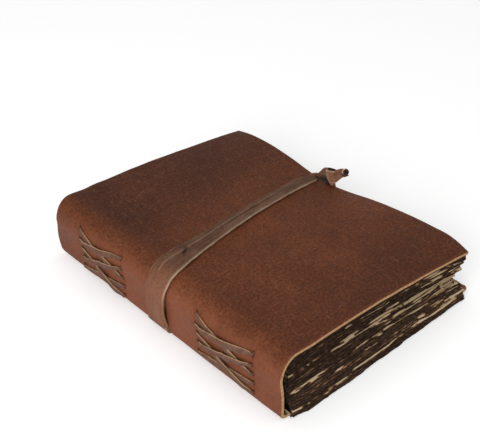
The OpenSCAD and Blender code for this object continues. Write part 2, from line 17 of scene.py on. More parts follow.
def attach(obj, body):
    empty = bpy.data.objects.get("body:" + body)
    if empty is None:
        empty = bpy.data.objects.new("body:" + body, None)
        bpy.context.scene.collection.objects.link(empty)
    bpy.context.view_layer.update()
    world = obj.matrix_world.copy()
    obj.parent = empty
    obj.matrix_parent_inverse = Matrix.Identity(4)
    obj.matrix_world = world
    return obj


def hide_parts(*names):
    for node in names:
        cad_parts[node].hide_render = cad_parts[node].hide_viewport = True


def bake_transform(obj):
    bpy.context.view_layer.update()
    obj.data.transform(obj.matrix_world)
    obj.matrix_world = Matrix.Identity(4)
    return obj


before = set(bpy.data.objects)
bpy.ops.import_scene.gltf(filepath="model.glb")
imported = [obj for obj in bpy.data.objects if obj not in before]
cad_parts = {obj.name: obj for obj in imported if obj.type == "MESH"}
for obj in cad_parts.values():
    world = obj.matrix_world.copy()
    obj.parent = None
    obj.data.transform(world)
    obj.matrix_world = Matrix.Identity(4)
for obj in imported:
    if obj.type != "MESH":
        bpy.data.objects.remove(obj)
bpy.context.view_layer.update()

LOG = logging.getLogger("journal")
METRES = 0.001
SPINE_TO_MIDDLE = 79.0
STRAP_FLAT_W = 12.0
Colour = tuple[float, float, float]
Array = np.ndarray
Real = np.ndarray | float
Finish = bpy.types.Material
Socket = bpy.types.NodeSocket


def smooth(value: Real) -> Array:
    """Smoothstep: 3c^2 - 2c^3 of the value clamped to 0 and 1."""
    c = np.clip(value, 0.0, 1.0)
    return c * c * (3.0 - 2.0 * c)


def mix(a: Real, b: Real, t: Real) -> Array:
    """Straight blend a + (b - a) t."""
    return a + (b - a) * t


def bell(value: Real, middle: Real, width: float) -> Array:
    """Bell curve exp(-((value - middle) / width)^2)."""
    return np.exp(-((value - middle) / width) ** 2)


def unit(vectors: Array) -> Array:
    """Vectors over their lengths, along the last axis."""
    return vectors / np.maximum(np.linalg.norm(vectors, axis=-1, keepdims=True), 1e-9)


def grid(*parts: Real) -> Array:
    """Coordinates spread to one common shape and stacked along a last axis."""
    return np.stack(np.broadcast_arrays(*parts), -1)


def distance(*parts: Array) -> Array:
    """Distance along a line from its first point: the running sum of its steps' lengths."""
    return np.concatenate([[0], np.cumsum(np.linalg.norm(np.diff(np.stack(parts)), axis=0))])


def facing(x: Array, z: Array) -> tuple[Array, Array, Array]:
    """Normal of a section: its slope turned by a right angle, upwards where it starts.

    Args:
        x: Places along X.
        z: Heights.

    Returns:
        The distance along the section, and the normal's X and Z parts.
    """
    s = distance(x, z)
    nx, nz = np.gradient(z, s), -np.gradient(x, s)
    side = -1.0 if nz[0] < 0 else 1.0
    return s, nx * side, nz * side


def drift(u: Real, v: Real, seed: int) -> Array:
    """Smooth random surface between -1 and 1 with features about one unit wide.

    Values at whole numbers come from a seeded table and are blended by
    smoothstep in both directions.

    Args:
        u: First coordinates.
        v: Second coordinates.
        seed: Number that picks the table.

    Returns:
        The surface's heights, in the shape u and v broadcast to.
    """
    u, v = np.broadcast_arrays(np.asarray(u, float), np.asarray(v, float))
    size = 64
    table = np.random.default_rng(seed).uniform(-1.0, 1.0, (size, size))
    iu, iv = np.floor(u).astype(int), np.floor(v).astype(int)
    fu, fv = smooth(u - iu), smooth(v - iv)
    rows = [mix(table[iu % size, j % size], table[(iu + 1) % size, j % size], fu) for j in (iv, iv + 1)]
    return mix(rows[0], rows[1], fv)


class Side(IntEnum):
    """Material places of a leather sheet: its grain, its flesh side, its cut edge."""

    GRAIN = 0
    FLESH = 1
    CUT = 2


@dataclass
class Mesh:
    """Grids and tubes gathered into one mesh, in millimetres.

    Attributes:
        points: Arrays of points, one for each part.
        faces: Face corner lists with their places in the whole mesh.
        places: Material place of each face.
        flat: Flat coordinates of each point, in millimetres.
        values: Named value of each point, such as wear, highlight, burn or shade.
        count: Number of points so far.
    """

    points: list[Array] = field(default_factory=list)
    faces: list[list[int]] = field(default_factory=list)
    places: list[int] = field(default_factory=list)
    flat: list[Array] = field(default_factory=list)
    values: dict[str, list[Array]] = field(default_factory=dict)
    count: int = 0

    def add(self, points: Array, faces: list[Array], places: tuple[int, ...], flat: Array,
            values: dict[str, Array]) -> None:
        """Adds one closed part, its faces turned outwards.

        The part's signed volume, a sixth of the sum of the triple products of
        its fan triangles, says whether its faces have to be turned round.

        Args:
            points: Points of the part, N x 3.
            faces: Arrays of faces, each a row of corners.
            places: Material place of each array of faces.
            flat: Flat coordinates, N x 2.
            values: Named values, N each.
        """
        volume = 0.0
        for block in faces:
            p = points[block]
            for k in range(1, block.shape[1] - 1):
                volume += np.einsum("ij,ij->", p[:, 0], np.cross(p[:, k], p[:, k + 1]))
        for block, place in zip(faces, places):
            turned = block[:, ::-1] if volume < 0 else block
            self.faces += (turned + self.count).tolist()
            self.places += [int(place)] * len(block)
        self.points.append(points)
        self.flat.append(flat)
        for name, value in values.items():
            self.values.setdefault(name, []).append(value)
        self.count += len(points)

    def sheet(self, outer: Array, inner: Array, flat: Array,
              places: tuple[int, int, int] = (Side.GRAIN, Side.FLESH, Side.CUT), **values: Array) -> None:
        """Adds a closed sheet between two grids that share their layout.

        Args:
            outer: Outer points, rows x columns x 3.
            inner: Inner points in the same layout.
            flat: Flat coordinates, rows x columns x 2.
            places: Material places of the outer face, inner face and rim.
            **values: Named values, rows x columns each.
        """
        rows, cols = outer.shape[:2]
        number = np.arange(rows * cols).reshape(rows, cols)
        top = grid(number[:-1, :-1], number[1:, :-1], number[1:, 1:], number[:-1, 1:]).reshape(-1, 4)
        loop = np.concatenate([number[0, :-1], number[:-1, -1], number[-1, :0:-1], number[:0:-1, 0]])
        after = np.roll(loop, -1)
        rim = grid(loop, after, after + rows * cols, loop + rows * cols)
        both = {k: np.tile(np.broadcast_to(v, (rows, cols)).ravel(), 2) for k, v in values.items()}
        self.add(np.concatenate([outer.reshape(-1, 3), inner.reshape(-1, 3)]),
                 [top, top[:, ::-1] + rows * cols, rim], places, np.tile(flat.reshape(-1, 2), (2, 1)), both)

    def tube(self, rings: Array, flat: Array, **values: Array) -> None:
        """Adds a closed tube of rings, capped at its ends, in the first material.

        Args:
            rings: Points, rings x around x 3.
            flat: Flat coordinates, rings x around x 2.
            **values: Named values, rings x around each.
        """
        rows, around = rings.shape[:2]
        number = np.arange(rows * around).reshape(rows, around)
        after = np.roll(number, -1, axis=1)
        wall = grid(number[:-1], after[:-1], after[1:], number[1:]).transpose(1, 0, 2).reshape(-1, 4)
        tall = {k: np.broadcast_to(v, (rows, around)).ravel() for k, v in values.items()}
        self.add(rings.reshape(-1, 3), [wall, number[:1, ::-1], number[-1:]], (0, 0, 0),
                 flat.reshape(-1, 2), tall)

    def build(self, name: str, finishes: list[Finish], sharp: float = 50.0) -> bpy.types.Object:
        """Makes the object: X moved to the middle, millimetres scaled to metres.

        Args:
            name: Name of the piece.
            finishes: Materials, in the order of the places.
            sharp: Angle in degrees above which an edge is drawn sharp.

        Returns:
            The new object, at the origin.
        """
        points = (np.concatenate(self.points) - [SPINE_TO_MIDDLE, 0.0, 0.0]) * METRES
        data = bpy.data.meshes.new(name)
        data.from_pydata(points.tolist(), [], self.faces)
        for finish in finishes:
            data.materials.append(finish)
        data.polygons.foreach_set("material_index", np.array(self.places, np.int32))
        data.polygons.foreach_set("use_smooth", np.ones(len(self.places), bool))
        corners = np.empty(len(data.loops), np.int32)
        data.loops.foreach_get("vertex_index", corners)
        flat = np.concatenate(self.flat) * METRES
        data.uv_layers.new(name="flat").data.foreach_set("uv", flat[corners].astype(np.float32).ravel())
        for key, parts in self.values.items():
            values = data.attributes.new(key, "FLOAT", "POINT")
            values.data.foreach_set("value", np.concatenate(parts).astype(np.float32))
        data.set_sharp_from_angle(angle=np.radians(sharp))
        data.validate()
        data.update()
        obj = bpy.data.objects.new(name, data)
        bpy.context.scene.collection.objects.link(obj)
        LOG.info("%s: %d points, %d faces", name, len(points), len(self.faces))
        return obj


@dataclass
class Nodes:
    """Short way to write the nodes of a material or of the world.

    Attributes:
        owner: The material or world whose node tree is written.
    """

    owner: bpy.types.Material | bpy.types.World

    def __post_init__(self) -> None:
        """Starts the tree empty."""
        self.owner.use_nodes = True
        self.owner.node_tree.nodes.clear()

    @classmethod
    def named(cls, name: str) -> "Nodes":
        """Starts a new material of that name."""
        return cls(bpy.data.materials.new(name))

    def put(self, kind: str, inputs: dict | None = None, **settings: object) -> bpy.types.Node:
        """Adds a node.

        Args:
            kind: Node class name without its ShaderNode prefix.
            inputs: Socket name or number to a value, a colour or another node's socket.
            **settings: Properties of the node.

        Returns:
            The node.
        """
        node = self.owner.node_tree.nodes.new("ShaderNode" + kind)
        for key, value in settings.items():
            setattr(node, key, value)
        for key, value in (inputs or {}).items():
            socket = node.inputs[key]
            if isinstance(value, Socket):
                self.owner.node_tree.links.new(value, socket)
            else:
                socket.default_value = (*value, 1.0) if socket.type == "RGBA" else value
        return node

    def flat(self, wide: float = 1.0, long: float = 1.0) -> Socket:
        """The piece's flat coordinates, stretched by a factor each way."""
        uv = self.put("UVMap", uv_map="flat").outputs["UV"]
        return self.put("Mapping", {"Vector": uv, "Scale": (wide, long, 1.0)}).outputs["Vector"]

    def value(self, name: str) -> Socket:
        """A named value of the mesh's points."""
        return self.put("Attribute", attribute_name=name).outputs["Fac"]

    def noise(self, vector: Socket, scale: float, detail: float = 3.0, rough: float = 0.55,
              twist: float = 0.0) -> Socket:
        """Noise from 0 to 1 with about scale features in a metre."""
        return self.put("TexNoise", {"Vector": vector, "Scale": scale, "Detail": detail,
                                     "Roughness": rough, "Distortion": twist}).outputs["Fac"]

    def spread(self, value: Socket, low: float, high: float, least: float = 0.0, most: float = 1.0) -> Socket:
        """Maps low to high onto least to most with smoothstep, clamped."""
        return self.put("MapRange", {"Value": value, "From Min": low, "From Max": high, "To Min": least,
                                     "To Max": most}, interpolation_type="SMOOTHSTEP").outputs["Result"]

    def math(self, kind: str, a: object, b: object) -> Socket:
        """One Math node of that kind, its result clamped to 0 and 1."""
        return self.put("Math", {0: a, 1: b}, operation=kind, use_clamp=True).outputs[0]

    def product(self, a: object, b: object) -> Socket:
        """Product of two values between 0 and 1."""
        return self.math("MULTIPLY", a, b)

    def blend(self, share: Socket, a: object, b: object) -> Socket:
        """Mixes two colours, given as tuples or sockets, by a share."""
        return self.put("MixRGB", {"Fac": share, "Color1": a, "Color2": b}).outputs["Color"]

    def layer(self, body: object, colour: Colour, value: Socket, *limits: float) -> Socket:
        """Lays a colour over the body by a value spread between limits."""
        return self.blend(self.spread(value, *limits), body, colour)

    def bump(self, height: Socket, depth: float, under: Socket | None = None) -> Socket:
        """Bump of that depth in metres, laid over another one if given."""
        inputs = {"Height": height, "Strength": 1.0, "Distance": depth}
        return self.put("Bump", inputs | ({"Normal": under} if under else {})).outputs["Normal"]

    def surface(self, colour: Socket, rough: object, normal: Socket, shine: float) -> Finish:
        """Ends the material with its shader.

        Args:
            colour: Base colour.
            rough: Roughness, a number or a socket.
            normal: Bumped normal.
            shine: Specular level.

        Returns:
            The finished material.
        """
        shader = self.put("BsdfPrincipled", {"Base Color": colour, "Roughness": rough, "Normal": normal,
                                             "Specular IOR Level": shine})
        self.put("OutputMaterial", {"Surface": shader.outputs["BSDF"]})
        return self.owner


@dataclass(frozen=True)
class OiledHide:
    """Oiled pull-up leather in dark and warm blotches, lighter on the spine and borders where it is partly
    rubbed and partly painted light, with painted shade behind the shoulder and in the slits.
    """

    deep: Colour = (0.092, 0.0255, 0.0090)
    warm: Colour = (0.158, 0.0440, 0.0155)
    # Lighter colour of the spine and borders: partly rubbed wear, partly painted light.
    rubbed: Colour = (0.213, 0.068, 0.033)
    # Colour of the painted shade behind the shoulder and of the darker ends.
    waxed: Colour = (0.060, 0.0168, 0.0080)
    dusty: Colour = (0.235, 0.087, 0.043)
    pore: Colour = (0.028, 0.010, 0.006)
    # Near-black painted shade in the slits.
    slit: Colour = (0.010, 0.005, 0.004)

    def material(self) -> Finish:
        """Blotches of 50 mm and 8 mm, painted shade behind the shoulder with darker ends, a lighter spine
        that is partly rubbed and partly painted light, near-black painted shade in the slits, pebbles, fine
        cracks.
        """
        n = Nodes.named("oiled_hide")
        flat = n.flat()
        blotch = n.noise(flat, 20.0, 4.0, 0.6, 0.4)
        cloud = n.noise(flat, 120.0, 5.0, 0.62)
        grain = n.noise(flat, 620.0, 6.0, 0.72)
        hair = n.noise(n.flat(1.0, 0.22), 420.0, 3.0, 0.6)
        vein = n.noise(n.flat(0.5, 1.0), 60.0, 4.0, 0.62, 1.4)
        body = n.layer(self.deep, self.warm, blotch, 0.28, 0.72, 0.15, 0.85)
        body = n.layer(body, self.warm, cloud, 0.42, 0.66, 0.0, 0.62)
        body = n.layer(body, self.deep, cloud, 0.32, 0.48, 0.65, 0.0)
        # Painted shade behind the shoulder, and darker towards both ends of the cover.
        body = n.blend(n.product(n.value("wax"), n.spread(cloud, 0.25, 0.6, 0.70, 1.0)), body, self.waxed)
        # Lighter spine and borders: partly rubbed wear, partly painted light and painted highlight.
        body = n.blend(n.product(n.value("wear"), n.spread(cloud, 0.2, 0.6, 0.55, 1.0)), body, self.rubbed)
        crack = n.product(n.spread(vein, 0.488, 0.5), n.spread(vein, 0.5, 0.512, 1.0, 0.0))
        body = n.blend(n.product(crack, n.spread(blotch, 0.40, 0.65, 0.15, 0.55)), body, self.dusty)
        body = n.layer(body, self.dusty, hair, 0.52, 0.74, 0.0, 0.26)
        body = n.layer(body, self.dusty, grain, 0.52, 0.68, 0.0, 0.46)
        unworn = n.spread(n.value("wear"), 0.0, 0.7, 1.0, 0.35)
        body = n.blend(n.product(n.spread(grain, 0.34, 0.52, 0.70, 0.0), unworn), body, self.pore)
        # Near-black painted shade in the slits.
        body = n.blend(n.value("slit"), body, self.slit)
        cells = n.put("TexVoronoi", {"Vector": flat, "Scale": 1350.0}, feature="SMOOTH_F1")
        pores = n.bump(cells.outputs["Distance"], 0.00016, n.bump(grain, 0.0003))
        folds = n.bump(cloud, 0.0010, pores)
        return n.surface(body, n.spread(cloud, 0.3, 0.7, 0.48, 0.62), folds, 0.11)


@dataclass(frozen=True)
class StrapHide:
    """Worn grey-brown strap leather with dusty streaks and fine creases along it."""

    dark: Colour = (0.078, 0.034, 0.018)
    pale: Colour = (0.136, 0.063, 0.033)
    dusty: Colour = (0.175, 0.100, 0.060)
    warm: Colour = (0.218, 0.086, 0.046)
    rim: Colour = (0.60, 0.41, 0.28)
    pore: Colour = (0.030, 0.016, 0.010)
    # Near-black painted shade in creases, hollows and undersides.
    crease: Colour = (0.020, 0.013, 0.010)

    def material(self) -> Finish:
        """Streaks along the strap, pale borders that are partly rubbed and partly painted highlight, painted
        shade in creases and hollows, fine pores.
        """
        n = Nodes.named("strap_hide")
        flat = n.flat()
        streak = n.noise(n.flat(0.16, 1.0), 520.0, 5.0, 0.65)
        cloud = n.noise(flat, 90.0, 5.0, 0.6)
        grain = n.noise(flat, 650.0, 6.0, 0.72)
        body = n.layer(self.dark, self.pale, cloud, 0.3, 0.7)
        body = n.blend(n.value("warm"), body, self.warm)
        body = n.layer(body, self.dusty, streak, 0.50, 0.68, 0.0, 0.6)
        body = n.layer(body, self.dark, streak, 0.32, 0.46, 0.5, 0.0)
        body = n.layer(body, self.dusty, grain, 0.52, 0.72, 0.0, 0.40)
        body = n.layer(body, self.pore, grain, 0.32, 0.50, 0.60, 0.0)
        # Pale borders: partly rubbed wear, partly painted highlight.
        body = n.blend(n.value("wear"), body, self.rim)
        # Painted shade in the strap's creases and in the knot's hollows and undersides.
        body = n.blend(n.value("crease"), body, self.crease)
        fine = n.bump(n.noise(flat, 1500.0, 4.0, 0.6), 0.00015, n.bump(grain, 0.0003))
        return n.surface(body, n.spread(cloud, 0.3, 0.7, 0.62, 0.78), n.bump(streak, 0.0005, fine), 0.14)


@dataclass(frozen=True)
class CutLeather:
    """Raw fibrous edge of cut leather."""

    name: str
    pale: Colour = (0.560, 0.330, 0.165)
    brown: Colour = (0.300, 0.150, 0.070)

    def material(self) -> Finish:
        """Pale tan with brown fibre flecks about a millimetre long."""
        n = Nodes.named(self.name)
        fleck = n.noise(n.flat(), 700.0, 5.0, 0.7)
        return n.surface(n.layer(self.pale, self.brown, fleck, 0.35, 0.7), 0.86, n.bump(fleck, 0.0004), 0.2)


@dataclass(frozen=True)
class FleshSide:
    """Napped inner side of the leather."""

    light: Colour = (0.235, 0.102, 0.058)
    dark: Colour = (0.145, 0.056, 0.032)
    fibre: Colour = (0.34, 0.19, 0.11)

    def material(self) -> Finish:
        """Soft nap in blotches, with fine fibres."""
        n = Nodes.named("flesh_side")
        flat = n.flat()
        nap = n.noise(flat, 1600.0, 4.0, 0.7)
        body = n.layer(self.dark, self.light, n.noise(flat, 60.0, 6.0, 0.65), 0.3, 0.7)
        body = n.layer(body, self.fibre, nap, 0.3, 0.7, 0.0, 0.35)
        return n.surface(body, 0.9, n.bump(nap, 0.0003), 0.1)


@dataclass(frozen=True)
class Thong:
    """Dull narrow lacing thong."""

    dark: Colour = (0.098, 0.045, 0.031)
    light: Colour = (0.170, 0.086, 0.058)
    edge: Colour = (0.46, 0.29, 0.15)

    def material(self) -> Finish:
        """Mottled grey-brown with fine bumps and a pale raw upper border."""
        n = Nodes.named("thong")
        flat = n.flat()
        cloud = n.noise(flat, 260.0, 5.0, 0.65)
        body = n.layer(self.dark, self.light, cloud, 0.3, 0.72)
        body = n.blend(n.product(n.value("edge"), n.spread(cloud, 0.25, 0.55, 0.35, 1.0)), body, self.edge)
        return n.surface(body, 0.72, n.bump(n.noise(flat, 1300.0, 4.0), 0.0002), 0.12)


@dataclass(frozen=True)
class AgedPaper:
    """Handmade rag paper, cream inside and scorched dark at its torn edges."""

    cream: Colour = (0.630, 0.485, 0.300)
    yellowed: Colour = (0.560, 0.390, 0.185)
    pulp: Colour = (0.38, 0.25, 0.12)
    tan: Colour = (0.400, 0.235, 0.120)
    scorched: Colour = (0.110, 0.056, 0.029)
    black: Colour = (0.019, 0.0115, 0.0082)
    fuzz: Colour = (0.135, 0.072, 0.043)

    def material(self) -> Finish:
        """Its burn, scorch with painted shade laid in at the spine and between leaves, runs through cream,
        tan, scorched brown and black.
        """
        n = Nodes.named("aged_paper")
        flat = n.flat()
        pulp = n.noise(flat, 1100.0, 4.0, 0.7)
        ragged = n.noise(n.flat(0.22, 1.0), 900.0, 5.0, 0.7)
        burn = n.math("ADD", n.value("burn"), n.spread(ragged, 0.25, 0.8, -0.22, 0.22))
        body = n.layer(self.cream, self.yellowed, n.noise(flat, 45.0, 6.0, 0.6), 0.35, 0.75, 0.0, 0.55)
        body = n.layer(body, self.pulp, pulp, 0.5, 0.8, 0.0, 0.25)
        for colour, low, high in ((self.tan, 0.12, 0.42), (self.scorched, 0.38, 0.62),
                                  (self.black, 0.60, 0.88)):
            body = n.layer(body, colour, burn, low, high)
        fuzz = n.product(n.spread(burn, 0.7, 0.9), n.spread(ragged, 0.47, 0.66, 0.0, 0.9))
        return n.surface(n.blend(fuzz, body, self.fuzz), 0.9, n.bump(pulp, 0.00025), 0.1)


@dataclass
class Form:
    """Sizes that the leather, the pages, the lacing and the strap share."""

    length: float = 203.0
    width: float = 158.0
    height: float = 41.5
    fore_height: float = 36.8
    leather: float = 2.0
    back_reach: float = 1.5
    shoulder_w: float = 12.0
    shoulder_d: float = 14.5
    foot_r: float = 4.4
    lean: float = 1.6
    waist: float = 0.6
    drape_from: float = 60.0
    near_droop: float = 5.0
    near_reach: float = 22.0
    far_droop: float = 2.8
    far_reach: float = 32.0
    dip: float = 7.8
    dip_reach: float = 39.0
    dip_y: float = 11.0
    strap_w: float = 17.6
    strap_neck_w: float = 9.4
    strap_t: float = 1.8
    strap_gap: float = 0.2
    strap_y: float = -0.8
    strap_drift: float = 24.0
    strap_gather: float = 2.6
    corner_reach: float = 4.5
    near_cut: float = 1.8
    front_fold: float = 14.0
    back_fold: float = 8.0
    turn_r: float = 0.4
    root_z: float = 4.6
    root_gap: float = 0.3

    @property
    def half(self) -> float:
        """Half the cover's length."""
        return self.length / 2

    @property
    def back_w(self) -> float:
        """Width of the back cover."""
        return self.width + self.back_reach

    @property
    def shoulder_z(self) -> float:
        """Height at which the rounded shoulder starts."""
        return self.height - self.shoulder_d

    @property
    def strap_rise(self) -> float:
        """Height that the strap takes under the leather."""
        return self.strap_t + self.strap_gap

    def top(self, x: Real, y: Real) -> Array:
        """Height of the front cover: a bowed fall less both corners' sag and the strap's hollow.

        Args:
            x: Places along X.
            y: Places along Y.

        Returns:
            The heights.
        """
        t = np.maximum(0.0, x - self.shoulder_w) / (self.width - self.shoulder_w)
        fall = (self.height - self.fore_height) * (0.35 * t + 0.65 * t * t)
        near, far = self.near_reach, self.far_reach
        sag = (self.near_droop * np.clip((-y - self.half + near) / near, 0, 1) ** 2
               + self.far_droop * np.clip((y - self.half + far) / far, 0, 1) ** 2
               + self.dip * bell(y, self.dip_y, self.dip_reach))
        share = np.clip((x - self.drape_from) / (self.width - self.drape_from), 0, 1) ** 1.7
        return self.height - fall - sag * share

    def wall(self, t: Real) -> Array:
        """Place of the spine's wall from shoulder, t 0, to foot, t 1: a lean plus half a sine."""
        return self.lean * t + self.waist * np.sin(np.pi * t)

    def shoulder(self, a: Array) -> tuple[Array, Array]:
        """X and Z of the elliptical shoulder at angles from 90 degrees on top to 0 on the wall."""
        return self.shoulder_w * (1 - np.cos(a)), self.shoulder_z + self.shoulder_d * np.sin(a)

    def spine_x(self, z: Array, inside: float = 0.0) -> Array:
        """Place of the spine's face at height z: ellipse, wall, quarter circle.

        Args:
            z: Heights.
            inside: Distance inside the outer face.

        Returns:
            Places along X.
        """
        z = np.asarray(z, float)
        radius = self.foot_r - inside
        e = np.clip((z - self.shoulder_z) / (self.shoulder_d - inside), 0, 1)
        shoulder = inside + (self.shoulder_w - inside) * (1 - np.sqrt(1 - e * e))
        straight = inside + self.wall(np.clip((self.shoulder_z - z) / (self.shoulder_z - self.foot_r), 0, 1))
        d = np.clip(self.foot_r - z, 0, radius)
        foot = self.lean + self.foot_r - np.sqrt(radius * radius - d * d)
        return np.where(z >= self.shoulder_z, shoulder, np.where(z >= self.foot_r, straight, foot))

    def over_strap(self, y: Array) -> Array:
        """Share, 0 to 1, of the lift over the strap that runs beneath: flat, with soft flanks."""
        return smooth((self.strap_w / 2 + self.strap_gap + 2.4 - np.abs(y - self.strap_y)) / 2.2)

    def gather(self, x: Array) -> Array:
        """How much the strap draws together before the knot, by smoothstep over 15 mm."""
        return self.strap_gather * smooth((x - self.width + 20) / 15)

    def strap_mid(self, x: Array) -> Array:
        """Middle of the strap on the front: a drift with the 1.12th power of the way."""
        t = np.maximum(x - self.front_fold, 0) / (self.width - self.front_fold)
        return self.strap_y + self.strap_drift * t ** 1.12 - self.gather(x) / 2

    def strap_width(self, x: Array) -> Array:
        """Width of the strap on the front, falling exponentially to the neck's width."""
        spread = (self.strap_w - self.strap_neck_w) * np.exp(-(x - self.front_fold) / 28)
        return self.strap_neck_w + spread - self.gather(x)

    def back_plan(self, x: Array, y: Array) -> tuple[Array, Array]:
        """Moves the back cover's points to its hand-cut outline.

        The near corner reaches out with the 1.6th power of the way to it, and
        the near end is cut back by a smoothstep plateau along X.

        Args:
            x: Places along X of the plain outline.
            y: Places along Y of the plain outline.

        Returns:
            X and Y of the hand-cut outline.
        """
        t = np.clip((44.0 - self.half - y) / 43.0, 0, 1)
        corner = 1.4 * smooth((2.0 - self.half - y) / 2.0)
        out = (self.corner_reach * t ** 1.6 - corner) * np.clip((x - 100) / (self.back_w - 100), 0, 1)
        plateau = smooth((x - 15) / 9) * smooth((self.back_w - x) / 28)
        return x + out, y + self.near_cut * plateau * np.clip((21.5 - self.half - y) / 21.5, 0, 1)


@dataclass
class Path:
    """Section of the hide from the fore edge over the spine and under the journal.

    Attributes:
        x: Places along X.
        z: Heights, without the front cover's drape.
        nx: X part of the outward normal.
        nz: Z part of the outward normal.
        lift: Share of the lift over the strap.
        s: Distance along the section.
    """

    x: Array
    z: Array
    nx: Array
    nz: Array
    lift: Array
    s: Array

    @classmethod
    def round(cls, form: Form) -> "Path":
        """Builds the whole section: cover, elliptical shoulder, wall, quarter-circle foot, back.

        Args:
            form: The shared sizes.

        Returns:
            The section, about 0.6 mm apart on the spine, 1.6 on the front cover and 2.2 on the back.
        """
        cover = np.concatenate([[form.width, form.width - 0.4],
                                np.linspace(form.width - 1.2, form.shoulder_w + 0.8, 92)])
        a = np.radians(np.linspace(90, 0, 34))
        t = np.linspace(0, 1, 36)[1:-1]
        b = np.radians(np.linspace(0, 90, 14))
        back = np.concatenate([np.linspace(form.lean + form.foot_r + 1, form.back_w - 1.2, 70),
                               [form.back_w - 0.4, form.back_w]])
        bend_x, bend_z = form.shoulder(a)
        x = np.concatenate([cover, bend_x, form.wall(t), form.lean + form.foot_r * (1 - np.cos(b)), back])
        z = np.concatenate([np.full(len(cover), form.height), bend_z, mix(form.shoulder_z, form.foot_r, t),
                            form.foot_r * (1 - np.sin(b)), np.zeros(len(back))])
        s, nx, nz = facing(x, z)
        length = np.hypot(nx, nz)
        lift = np.concatenate([np.zeros(len(cover) + len(a)), smooth(t), np.ones(len(b) + len(back))])
        return cls(x, z, nx / length, nz / length, lift, s)

    def part(self, rows: slice) -> "Path":
        """A stretch of the section."""
        return Path(*(v[rows] for v in (self.x, self.z, self.nx, self.nz, self.lift, self.s)))


@dataclass(frozen=True)
class Slits:
    """Two upright rows of slits that one thong is laced through.

    Attributes:
        name: Name of the thong's solid.
        near: Place of the near row along Y.
        far: Place of the far row along Y.
        drop: Distance of the top slit below the cover's top.
        low: Height of the lowest slit.
        seed: Number for the thong's unevenness.
    """

    name: str
    near: float
    far: float
    drop: float
    low: float
    seed: int

    @property
    def rows(self) -> tuple[float, float]:
        """Places of both rows."""
        return self.near, self.far


